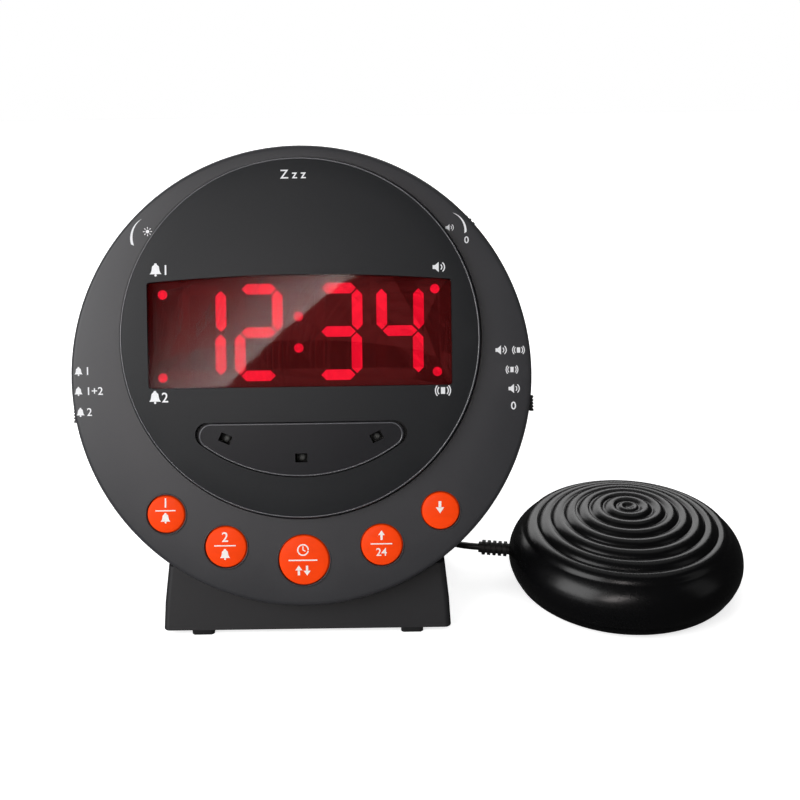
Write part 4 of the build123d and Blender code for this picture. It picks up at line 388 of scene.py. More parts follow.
@dataclass(frozen=True)
class GlossPlastic(Finish):
    """Smooth plastic with faint flow marks of the mould, as on the buttons.

    Attributes:
        FLOW_SIZE, FLOW_DEPTH: The size and depth of the flow marks.
        FINE_SIZE, FINE_DEPTH: The size and depth of the fine grain over them.
        roughness: Its middle roughness.
        glow: The share of its colour that it sends out as a painted glow, though it holds no lamp.
    """

    FLOW_SIZE, FLOW_DEPTH = 0.006, 0.00003
    FINE_SIZE, FINE_DEPTH = 0.0005, 0.000004
    roughness: float = 0.28
    glow: float = 0.0

    def build(self, bench: Bench) -> bpy.types.Material:
        """Build the flow marks and the gloss."""
        flow = bench.noise(self.FLOW_SIZE, 2.0, (1, 1, 2.5))
        fine = bench.noise(self.FINE_SIZE, 2.0)
        mark = flow.within(0.35, 0.65)
        colour = bench.blend(mark, self.shade(0.93), self.colour)
        rough = self.roughness + mark * 0.05 + fine * 0.03
        normal = bench.relief(fine, self.FINE_DEPTH, bench.relief(flow, self.FLOW_DEPTH))
        # The emission here is a painted glow, not a lamp inside the plastic.
        return bench.surface({"Base Color": colour, "Roughness": rough, "Specular IOR Level": 0.1,
                              "Coat Weight": 0.02, "Coat Roughness": 0.2, "Emission Color": self.colour,
                              "Emission Strength": self.glow, "Normal": normal})


@dataclass(frozen=True)
class TintedWindow(Finish):
    """The display's red window, which shows part of what lies behind it.

    Attributes:
        HAZE_SIZE: The size of the streaks that wiping leaves.
        HAZE: What they add to the roughness and the cover.
        INDEX: Its index of refraction.
        cover: How much of what lies behind it hides.
        roughness: Its polish.
    """

    HAZE_SIZE = 0.02
    HAZE = 0.02
    INDEX = 1.49
    cover: float = 0.5
    roughness: float = 0.05

    def build(self, bench: Bench) -> bpy.types.Material:
        """Build the tint and the polish, with the faint haze that wiping leaves."""
        haze = bench.noise(self.HAZE_SIZE, 3.0, (1, 3, 3)).within(*SOFT_STEP) * self.HAZE
        return bench.surface({"Base Color": self.colour, "Roughness": self.roughness + haze,
                              "Alpha": self.cover + haze, "IOR": self.INDEX, "Specular IOR Level": 0.2})


@dataclass(frozen=True)
class LitSegment(Finish):
    """A lit segment: an even light, mottled by a milky diffuser's grain.

    Attributes:
        MILK_SIZE: The size of the diffuser's grain.
        strength: How strong the light is.
    """

    MILK_SIZE = 0.0012
    strength: float = 1.6

    def build(self, bench: Bench) -> bpy.types.Material:
        """Build the light and the milky diffuser's grain."""
        milk = bench.noise(self.MILK_SIZE, 2.0).within(*SOFT_STEP)
        return bench.surface({"Base Color": (0.1, 0.0, 0.0), "Roughness": 0.6,
                              "Emission Color": bench.blend(milk, self.shade(0.9), self.colour),
                              "Emission Strength": self.strength, "Normal": bench.relief(milk, 0.00002)})


@dataclass(frozen=True)
class PrintedInk(Finish):
    """Screen-printed ink, slightly uneven at the mesh of the screen."""

    def build(self, bench: Bench) -> bpy.types.Material:
        """Build the mesh marks of the screen."""
        mesh = bench.noise(0.00025, 1.0)
        colour = bench.blend(mesh.within(0.25, 0.6), self.shade(0.86), self.colour)
        return bench.surface({"Base Color": colour, "Roughness": 0.55 + mesh * 0.1,
                              "Normal": bench.relief(mesh, 0.00001)})


@dataclass(frozen=True)
class SoftRubber(Finish):
    """Soft moulded rubber or a cable's sheath: dull, with a fine skin.

    Attributes:
        roughness: Its middle roughness.
        skin_size: The size of the marks in its skin.
        DUST_SIZE: The size of the patches of dust.
    """

    DUST_SIZE = 0.012
    roughness: float = 0.6
    skin_size: float = 0.0006

    def build(self, bench: Bench) -> bpy.types.Material:
        """Build the skin and the dust that rubber holds."""
        skin = bench.noise(self.skin_size, 3.0)
        dust = bench.noise(self.DUST_SIZE, 4.0).within(0.5, 0.75)
        colour = bench.blend(dust * 0.35, self.colour, self.shade(0.8, 0.02))
        return bench.surface({"Base Color": colour, "Roughness": self.roughness + skin * 0.12,
                              "Normal": bench.relief(skin, 0.00003)})


@dataclass(frozen=True)
class Metal(Finish):
    """Plated or turned metal, with fine lines along one axis.

    Attributes:
        roughness: Its middle roughness.
        lines: How much finer its marks are along each axis.
        metallic: How metallic it is.
        MARK_SIZE: The size of the lines.
        TARNISH_SIZE: The size of the patches of tarnish.
    """

    MARK_SIZE = 0.0008
    TARNISH_SIZE = 0.008
    roughness: float = 0.3
    lines: tuple[float, float, float] = (1, 1, 1)
    metallic: float = 1.0

    def build(self, bench: Bench) -> bpy.types.Material:
        """Build the lines and a slow tarnish."""
        marks = bench.noise(self.MARK_SIZE, 2.0, self.lines)
        tarnish = bench.noise(self.TARNISH_SIZE, 3.0).within(0.4, 0.8)
        colour = bench.blend(tarnish * 0.6, self.colour, self.shade(0.72))
        return bench.surface({"Base Color": colour, "Metallic": self.metallic,
                              "Roughness": self.roughness + marks * 0.12 + tarnish * 0.08,
                              "Normal": bench.relief(marks, 0.00001)})


@dataclass(frozen=True)
class SolderMask(Finish):
    """A circuit board's green mask, with copper tracks showing through as a lighter green."""

    TRACKS_PER_METRE = 260.0

    def build(self, bench: Bench) -> bpy.types.Material:
        """Build the tracks from stepped noise."""
        tracks = bench.add("ShaderNodeTexVoronoi", {"feature": "DISTANCE_TO_EDGE"},
                           {"Vector": bench.place(), "Scale": self.TRACKS_PER_METRE}).out("Distance").within(0.08, 0.1)
        colour = bench.blend(tracks, self.shade(1.6, 0.01), self.colour)
        return bench.surface({"Base Color": colour, "Roughness": 0.35,
                              "Normal": bench.relief(1 - tracks, 0.00004)})


@dataclass(frozen=True)
class PressedPaper(Finish):
    """A loudspeaker's pressed paper, with long fibres."""

    def build(self, bench: Bench) -> bpy.types.Material:
        """Build the fibres."""
        fibres = bench.noise(0.0009, 5.0, (3, 1, 1))
        colour = bench.blend(fibres.within(0.45, 0.7), self.colour, self.shade(2, 0.01))
        return bench.surface({"Base Color": colour, "Roughness": 0.9,
                              "Normal": bench.relief(fibres, 0.00008)})


CASE_GREY = MouldedPlastic("case_grey", from_screen(37, 37, 39), 0.5, 0.00045, 0.00002, 0.08, 0.0, 0.3)
FACE_BLACK = MouldedPlastic("face_black", from_screen(52, 52, 55), 0.42, 0.0004, 0.000014, 0.06)
DISC_BLACK = MouldedPlastic("disc_black", from_screen(36, 37, 39), 0.45, 0.0004, 0.000012, 0.06, 0.0, 0.2)
# Painted highlight: a pale gloss, far paler than the disc and the panel, that paints the light line along their edges.
EDGE_PAINTED_HIGHLIGHT = MouldedPlastic("edge_painted_highlight", from_screen(88, 88, 92), 0.16, 0.0006, 0.000002, 0.04, 0.6)
PANEL_BLACK = MouldedPlastic("panel_black", from_screen(34, 34, 37), 0.4, 0.0005, 0.000008, 0.06, 0.0, 0.2)
TRIM_BLACK = MouldedPlastic("trim_black", from_screen(30, 30, 32), 0.4, 0.0004, 0.00002)
SHAKER_BLACK = MouldedPlastic("shaker_black", from_screen(9, 9, 10), 0.24, 0.0008, 0.000001, 0.05, 0.1,
                              0.25)
# The buttons' glow of 0.2 is painted light: it makes their orange brighter than the lamps alone make it.
BUTTON_ORANGE_PAINTED_GLOW = GlossPlastic("button_orange_painted_glow", from_screen(236, 62, 0), 0.45, 0.2)
LENS_RED = TintedWindow("lens_red", (0.05, 0.0, 0.0004), 0.35, 0.03)
DISPLAY_LIT = LitSegment("display_lit", (1.0, 0.0, 0.026), 1.55)
DISPLAY_DARK = MouldedPlastic("display_dark", (0.25, 0.0002, 0.0006), 0.7, 0.0006, 0.000002)
DISPLAY_BODY = MouldedPlastic("display_body", (0.23, 0.0001, 0.0004), 0.7, 0.0006, 0.000002)
INK_WHITE = PrintedInk("ink_white", (0.86, 0.86, 0.88))
INK_PALE = PrintedInk("ink_pale", (0.95, 0.9, 0.86))
RUBBER_BLACK = SoftRubber("rubber_black", (0.012, 0.012, 0.013), 0.55)
SHEATH_BLACK = SoftRubber("sheath_black", (0.01, 0.01, 0.011), 0.42, 0.0009)
SCREW_ZINC = Metal("screw_zinc", (0.5, 0.5, 0.53), 0.28)
MOTOR_STEEL = Metal("motor_steel", (0.56, 0.56, 0.58), 0.22, (8, 1, 1))
WEIGHT_BRASS = Metal("weight_brass", (0.72, 0.5, 0.2), 0.25, (1, 6, 6))
BATTERY_CAN = Metal("battery_can", (0.2, 0.21, 0.24), 0.35, (1, 1, 1), 0.7)
MAGNET_IRON = Metal("magnet_iron", (0.09, 0.09, 0.1), 0.5, (1, 1, 1), 0.6)
BOARD_GREEN = SolderMask("board_green", (0.01, 0.1, 0.035))
CHIP_BLACK = MouldedPlastic("chip_black", from_screen(28, 28, 30), 0.5, 0.0003, 0.00001)
CAN_BLUE = GlossPlastic("can_blue", (0.01, 0.02, 0.12), 0.3)
LAMP_CLEAR = GlossPlastic("lamp_clear", (0.22, 0.22, 0.21), 0.1)
CONE_PAPER = PressedPaper("cone_paper", (0.02, 0.02, 0.02))


@dataclass(frozen=True)
class FacePlane:
    """The plane of the clock's front ring.

    Attributes:
        middle: The ring's middle, in metres of the part's frame.
        tilt: How far the face leans back, in degrees.
    """

    middle: Vector = Vector((-0.0364, -0.01424, 0.0805))
    tilt: float = 22.0

    @property
    def right(self) -> Vector:
        """Across the face."""
        return Vector((1, 0, 0))

    @property
    def along(self) -> Vector:
        """Up along the face."""
        return Vector((0, math.sin(math.radians(self.tilt)), math.cos(math.radians(self.tilt))))

    @property
    def out(self) -> Vector:
        """Out of the face."""
        return Vector((0, -math.cos(math.radians(self.tilt)), math.sin(math.radians(self.tilt))))

    def point(self, across: float, up: float, proud: float) -> Vector:
        """A point from its place on the face.

        Args:
            across: Metres to the right of the middle.
            up: Metres up along the face.
            proud: Metres out of the face.

        Returns:
            The point in the part's frame.
        """
        return self.middle + self.right * across + self.along * up + self.out * proud

    def lean(self) -> Euler:
        """How a flat drawing is turned to lie in the face."""
        return Matrix((self.right, self.along, self.out)).transposed().to_euler()


@dataclass(frozen=True)
class Photograph:
    """Where the picture was taken from, and how its pixels meet the object.

    Attributes:
        face: The plane that the aim is measured on.
        elevation: How far the camera looks down, in degrees.
        roll: How far the picture is turned, in degrees.
        distance: From the camera to the aim, in metres.
        lens: The focal length on a sensor 36 mm wide.
        aim_right: The aim's place right of the ring's middle, in metres.
        aim_up: The aim's place above it across the line of sight, in metres.
    """

    face: FacePlane
    elevation: float = 24.0
    roll: float = 0.8
    distance: float = 0.390
    lens: float = 55.9
    aim_right: float = 0.0309
    aim_up: float = -0.0077

    @property
    def forward(self) -> Vector:
        """The line of sight."""
        return Vector((0, math.cos(math.radians(self.elevation)), -math.sin(math.radians(self.elevation))))

    def upright(self) -> tuple[Vector, Vector]:
        """Right and up of the picture before it is rolled."""
        turn = math.radians(self.elevation)
        return Vector((1, 0, 0)), Vector((0, math.sin(turn), math.cos(turn)))

    def rolled(self) -> tuple[Vector, Vector]:
        """Right and up of the picture."""
        right, up = self.upright()
        turn = math.radians(self.roll)
        return (right * math.cos(turn) - up * math.sin(turn),
                up * math.cos(turn) + right * math.sin(turn))

    def place(self) -> Vector:
        """Where the camera stands."""
        right, up = self.upright()
        aim = self.face.middle + right * self.aim_right + up * self.aim_up
        return aim - self.forward * self.distance

    def ray(self, x_px: float, y_px: float) -> Vector:
        """The line of sight through a pixel.

        Args:
            x_px: Pixels from the picture's left edge.
            y_px: Pixels from its top edge.

        Returns:
            Its direction.
        """
        right, up = self.rolled()
        half = PHOTO_SIDE_PX / 2
        pixel = SENSOR_WIDTH_MM / PHOTO_SIDE_PX
        sight = self.forward * self.lens + right * (x_px - half) * pixel + up * (half - y_px) * pixel
        return sight.normalized()

    def set_up(self) -> bpy.types.Object:
        """Make the camera and hand the scene over to it.

        Returns:
            The camera.
        """
        data = bpy.data.cameras.new("camera")
        data.sensor_width = SENSOR_WIDTH_MM
        data.lens = self.lens
        data.clip_start = 0.01
        camera = linked(data, "camera")
        right, up = self.rolled()
        turn = Matrix((right, up, -self.forward)).transposed().to_4x4()
        camera.matrix_world = Matrix.Translation(self.place()) @ turn
        bpy.context.scene.camera = camera
        LOG.info("camera at %s", tuple(round(value, 4) for value in camera.location))
        return camera


@dataclass(frozen=True)
class Lead:
    """The shaker's lead: from the shaker behind the clock, into its coil, and on to its plug.

    Attributes:
        start: Where it leaves the shaker's strain relief.
        to_coil: Its route to the coil.
        to_plug: Its route from the coil to the plug's tail.
        coil_middle: The middle of the coil on the table.
        coil_radius: The coil's outer radius.
        coil_height: The height of its first turn.
        pitch: The step from one turn to the next.
        layer_step: The step from one layer up to the next.
        reversal: The extra step of a half turn where a layer begins or ends.
        layers: How many layers it has.
        half_turns: The half turns of one layer.
        points_per_turn: The control points of one turn.
        diameter: The lead's diameter.
        length: Its length along its middle; not used.
    """

    start: tuple[float, float, float] = (0.02126, 0.00146, 0.0086)
    to_coil: tuple[tuple[float, float, float], ...] = (
        (0.01680, 0.00226, 0.0086), (0.01270, 0.00457, 0.0082), (0.00950, 0.00827, 0.0071),
        (0.00720, 0.01397, 0.0052), (0.00620, 0.02317, 0.0026), (0.00450, 0.03567, 0.0013),
        (-0.00160, 0.04867, 0.00125), (-0.01240, 0.05807, 0.0016), (-0.02640, 0.06087, 0.00235))
    to_plug: tuple[tuple[float, float, float], ...] = (
        (-0.01785, 0.07267, 0.01135), (-0.01640, 0.06267, 0.0115), (-0.01640, 0.05277, 0.0115))
    coil_middle: tuple[float, float] = (-0.0394, 0.08167)
    coil_radius: float = 0.0208
    coil_height: float = 0.00235
    pitch: float = 0.003
    layer_step: float = 0.003
    reversal: float = 0.0005
    layers: int = 4
    half_turns: int = 9
    points_per_turn: int = 24
    diameter: float = 0.0024
    length: float = 1.8585

    def stations(self) -> list[tuple[float, float]]:
        """Radius and height at the ends of the half turns, in, out, in and out again."""
        radius, height = self.coil_radius, self.coil_height
        found = [(radius, height)]
        for layer in range(self.layers):
            way = -1 if layer % 2 == 0 else 1
            for step in range(self.half_turns):
                begins = layer > 0 and step == 0
                ends = layer < self.layers - 1 and step == self.half_turns - 1
                radius += way * (self.pitch / 2 + self.reversal * (begins + ends))
                found.append((radius, height))
            if layer < self.layers - 1:
                height += self.layer_step
                found.append((radius, height))
        return found + [(radius + self.pitch / 2, height)]

    def coil_points(self) -> list[Vector]:
        """Control points of the coil, drawn outwards so that the curve keeps the turns' radii."""
        middle = Vector((*self.coil_middle, 0.0))
        gain = 1 / math.cos(math.pi / self.points_per_turn)
        found: list[Vector] = []
        stations = self.stations()
        steps = self.points_per_turn // 2
        for half in range(len(stations) - 1):
            turn = -math.pi / 2 - half * math.pi
            ray = Vector((math.cos(turn), math.sin(turn), 0.0))
            ahead = Vector((math.sin(turn), -math.cos(turn), 0.0))
            (near, low), (far, high) = stations[half], stations[half + 1]
            begin = middle + ray * near + Vector((0, 0, low))
            end = middle - ray * far + Vector((0, 0, high))
            across = (end - begin) / 2
            last = half == len(stations) - 2
            for step in range(steps // 2 if last else steps):
                angle = math.pi * (step + 0.5) / steps
                found.append((begin + end) / 2 - across * math.cos(angle) * gain
                             + ahead * across.length * math.sin(angle) * gain)
        return found

    def build(self) -> bpy.types.Object:
        """Returns:
            The lead.
        """
        points = [Vector(self.start), *map(Vector, self.to_coil), *self.coil_points(),
                  *map(Vector, self.to_plug)]
        data = bpy.data.curves.new("lead", "CURVE")
        data.dimensions = "3D"
        spline = data.splines.new("NURBS")
        spline.points.add(len(points) - 1)
        for place, point in zip(spline.points, points):
            place.co = (*point, 1.0)
        spline.order_u = 3
        spline.use_endpoint_u = True
        spline.resolution_u = 3
        data.bevel_depth = self.diameter / 2
        data.bevel_resolution = 3
        data.use_fill_caps = True
        data.materials.append(SHEATH_BLACK.material())
        LOG.info("lead of %d control points", len(points))
        return piece(data, "lead", "shaker", "cord_black", "shaker_cord", "shaker_cord_coil", "plug_cord")


@dataclass
class Dresser:
    """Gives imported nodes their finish, on a merged and smoothed copy.

    Attributes:
        nodes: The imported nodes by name.
        bodies: The body of each node.
        sharp: The angle that stays sharp, in degrees.
        weld: The distance under which two corners become one, in metres.
    """

    nodes: dict[str, bpy.types.Object]
    bodies: dict[str, str]
    sharp: float = 28.0
    weld: float = 2e-7

    def dress(self, name: str, finish: Finish, slot: str) -> bpy.types.Object:
        """Show a node as a smooth copy of itself in its finish.

        Args:
            name: The node's name.
            finish: Its finish.
            slot: The record's material slot.

        Returns:
            The copy.
        """
        mesh = self.nodes[name].data.copy()
        mesh.name = name + "_shown"
        body = bmesh.new()
        body.from_mesh(mesh)
        bmesh.ops.remove_doubles(body, verts=body.verts, dist=self.weld)
        for edge in body.edges:
            edge.smooth = len(edge.link_faces) == 2 and edge.calc_face_angle(0.0) < math.radians(self.sharp)
        for facet in body.faces:
            facet.smooth = True
        body.to_mesh(mesh)
        body.free()
        if "custom_normal" in mesh.attributes:
            mesh.attributes.remove(mesh.attributes["custom_normal"])
        mesh.materials.clear()
        mesh.materials.append(finish.material())
        for polygon in mesh.polygons:
            polygon.material_index = 0
        return piece(mesh, name + "_shown", self.bodies[name], slot, name)


@dataclass(frozen=True)
class Lamp:
    """A soft rectangular lamp.

    Attributes:
        name: Its name.
        at: Its place.
        size: Its width and height.
        power: Its power in watts.
        aim: The place that it looks at.
    """

    name: str
    at: tuple[float, float, float]
    size: tuple[float, float]
    power: float
    aim: tuple[float, float, float] = (0.0, 0.0, 0.06)

    def hang(self) -> bpy.types.Object:
        """Hang the lamp.

        Returns:
            The lamp, which the camera doesn't see.
        """
        data = bpy.data.lights.new(self.name, "AREA")
        data.shape = "RECTANGLE"
        data.size, data.size_y = self.size
        data.energy = self.power
        lamp = linked(data, self.name)
        lamp.location = self.at
        lamp.rotation_euler = (Vector(self.aim) - Vector(self.at)).to_track_quat("-Z", "Y").to_euler()
        lamp.visible_camera = False
        return lamp


@dataclass(frozen=True)
class Room:
    """The studio: a white table and background, and soft lamps.

    Attributes:
        lamps: The lamps.
        floor_size: The table's side, in metres.
        backdrop: The light of the background as the camera sees it.
        fill: The light that comes from all round.
        mirrored: The light that reflections see all round.
        table_white: The table's brightness.
        table_glow: The light that the camera sees added to the table.
    """

    lamps: tuple[Lamp, ...] = (
        Lamp("key_lamp", (-0.75, -0.55, 0.5), (0.7, 0.7), 7.8),
        Lamp("top_lamp", (0.1, 0.35, 0.95), (0.9, 0.6), 0.7),
        Lamp("right_lamp", (0.8, -0.25, 0.35), (0.3, 0.6), 0.2),
        Lamp("back_lamp", (-0.15, 1.0, 0.62), (1.6, 0.5), 7.0))
    floor_size: float = 1.6
    backdrop: float = 1.0
    fill: float = 0.4
    mirrored: float = 0.03
    table_white: float = 0.9
    table_glow: float = 0.7

    def build(self) -> None:
        """Lay the table, light the world and hang the lamps."""
        self.table()
        self.world()
        for lamp in self.lamps:
            lamp.hang()

    def table(self) -> None:
        """Lay the table, which shows white to the camera and keeps the object's shadow."""
        mesh = bpy.data.meshes.new("table")
        half = self.floor_size / 2
        mesh.from_pydata([(-half, -half, 0), (half, -half, 0), (half, half, 0), (-half, half, 0)], [],
                         [(0, 1, 2, 3)])
        bench = Bench(bpy.data.materials.new("table_white"))
        glow = bench.blend(bench.add("ShaderNodeLightPath").out("Is Camera Ray"), BLACK, WHITE)
        mesh.materials.append(bench.surface({
            "Base Color": (self.table_white,) * 3, "Roughness": 0.8, "Specular IOR Level": 0.1,
            "Emission Color": glow, "Emission Strength": self.table_glow}))
        table = linked(mesh, "table")
        table.visible_glossy = False

    def world(self) -> None:
        """Light the world evenly, white where the camera looks past the table."""
        bench = Bench(bpy.data.worlds.new("studio"))
        bpy.context.scene.world = bench.owner
        path = bench.add("ShaderNodeLightPath")
        light = None
        for ray, strength in ((None, self.fill), ("Is Glossy Ray", self.mirrored),
                              ("Is Camera Ray", self.backdrop)):
            glow = bench.add("ShaderNodeBackground", None, {"Color": WHITE, "Strength": strength}).out()
            light = glow if light is None else bench.add(
                "ShaderNodeMixShader", None, {0: path.out(ray), 1: light, 2: glow}).out()
        bench.add("ShaderNodeOutputWorld", None, {"Surface": light})


class Symbol(Enum):
    """The printed symbols, drawn for this part."""

    BELL = "bell"
    SOUND = "sound"
    SHAKE = "shake"
    CLOCK = "clock"
    UP = "up"
    DOWN = "down"
    UP_DOWN = "up_down"
    SUN = "sun"
    RULE = "rule"
    PLUG_POLES = "plug_poles"
    SWEEP = "sweep"


Outline = list[tuple[float, float]]
ARC_STEP = 12
CAPITAL_SHARE = 0.72
INK_SPREAD = 0.012


def round_point(x: float, y: float, radius: float, turn: float) -> tuple[float, float]:
    """The point of a circle at an angle in radians."""
    return x + radius * math.cos(turn), y + radius * math.sin(turn)


def disc(x: float, y: float, radius: float, count: int = 20) -> Outline:
    """A filled circle's outline."""
    return [round_point(x, y, radius, 2 * math.pi * k / count) for k in range(count)]


def stroke(points: Sequence[tuple[float, float]], width: float) -> Outline:
    """The outline of a line of even width.

    Args:
        points: The line's points.
        width: Its width.

    Returns:
        The outline.
    """
    left, right = [], []
    for k, point in enumerate(points):
        before, after = points[max(k - 1, 0)], points[min(k + 1, len(points) - 1)]
        run = Vector((after[0] - before[0], after[1] - before[1])).normalized()
        side = Vector((-run.y, run.x)) * (width / 2)
        left.append((point[0] + side.x, point[1] + side.y))
        right.append((point[0] - side.x, point[1] - side.y))
    return right + left[::-1]


def bow(x: float, y: float, radius: float, start: float, end: float, width: float) -> Outline:
    """An arc of even width, from one angle to another in degrees."""
    steps = max(4, int(abs(end - start) / ARC_STEP))
    return stroke([round_point(x, y, radius, math.radians(start + (end - start) * k / steps))
                   for k in range(steps + 1)], width)


def arrow(x: float, way: int) -> list[Outline]:
    """A small arrow that points up for way 1 and down for way -1."""
    return [[(x - 0.3, 0.02 * way), (x, 0.45 * way), (x + 0.3, 0.02 * way)][::way],
            stroke([(x, -0.42 * way), (x, 0.06 * way)], 0.2)]


def symbol_outlines(symbol: Symbol) -> list[Outline]:
    """The filled outlines of a symbol that is one unit tall.

    Args:
        symbol: Which one.

    Returns:
        Its outlines.
    """
    bell = [(0.08, 0.5), (0.1, 0.4), (0.26, 0.27), (0.31, -0.05), (0.36, -0.2), (0.46, -0.32)]
    horn = [(-0.5, -0.16), (-0.3, -0.16), (0.0, -0.42), (0.0, 0.42), (-0.3, 0.16), (-0.5, 0.16)]
    rays = [math.pi / 4 * k for k in range(8)]
    bars = [((0.0, 0), (0.75, 0)), ((-0.75, 0), (-0.3, 0)), ((0.88, 0), (1.12, 0)), ((-1.1, 0), (-0.88, 0)),
            ((1.0, -0.12), (1.0, 0.12))]
    curve = [math.radians(180 + 38 * k / 9) for k in range(-9, 10)]
    outer = [round_point(0.62, 0.0, 0.81, turn) for turn in curve]
    inner = [(x + 0.11 * (1 - k / 18) + 0.01, y) for k, (x, y) in enumerate(outer[::-1])]
    return {
        Symbol.BELL: [[(-x, y) for x, y in bell] + bell[::-1], disc(0, -0.41, 0.09, 14)],
        Symbol.SOUND: [horn] + [bow(0, 0, radius, -50, 50, 0.09) for radius in (0.26, 0.48)],
        Symbol.SHAKE: [stroke([(0, -0.24), (0, 0.24)], 0.3)] + [
            bow(0, 0, radius, middle - 42, middle + 42, 0.08)
            for radius in (0.38, 0.54) for middle in (0, 180)],
        Symbol.CLOCK: [bow(0, 0, 0.42, 0, 350, 0.1), stroke([(0, 0.28), (0, 0), (0.2, -0.1)], 0.09)],
        Symbol.UP: arrow(0.0, 1),
        Symbol.DOWN: arrow(0.0, -1),
        Symbol.UP_DOWN: arrow(-0.36, 1) + arrow(0.36, -1),
        Symbol.SUN: [disc(0, 0, 0.2)] + [
            stroke([round_point(0, 0, radius, turn) for radius in (0.32, 0.5)], 0.09) for turn in rays],
        Symbol.PLUG_POLES: [bow(0, 0, 0.3, 35, 325, 0.09), disc(0, 0, 0.12)] + [
            stroke(bar, 0.07) for bar in bars],
        Symbol.SWEEP: [outer + inner],
        Symbol.RULE: [stroke([(-1.0, 0), (1.0, 0)], 0.14)],
    }[symbol]


@dataclass(frozen=True)
class Mark:
    """One printed mark.

    Attributes:
        what: A symbol, or plain text of numerals and the like.
        x_px: Where its middle is in the picture.
        y_px: The same, from the top.
        height_px: How tall it is in the picture.
        turn: How far it is turned, in degrees.
        stretch: How much wider it is drawn.
    """

    what: Union[Symbol, str]
    x_px: float
    y_px: float
    height_px: float
    turn: float = 0.0
    stretch: float = 1.0


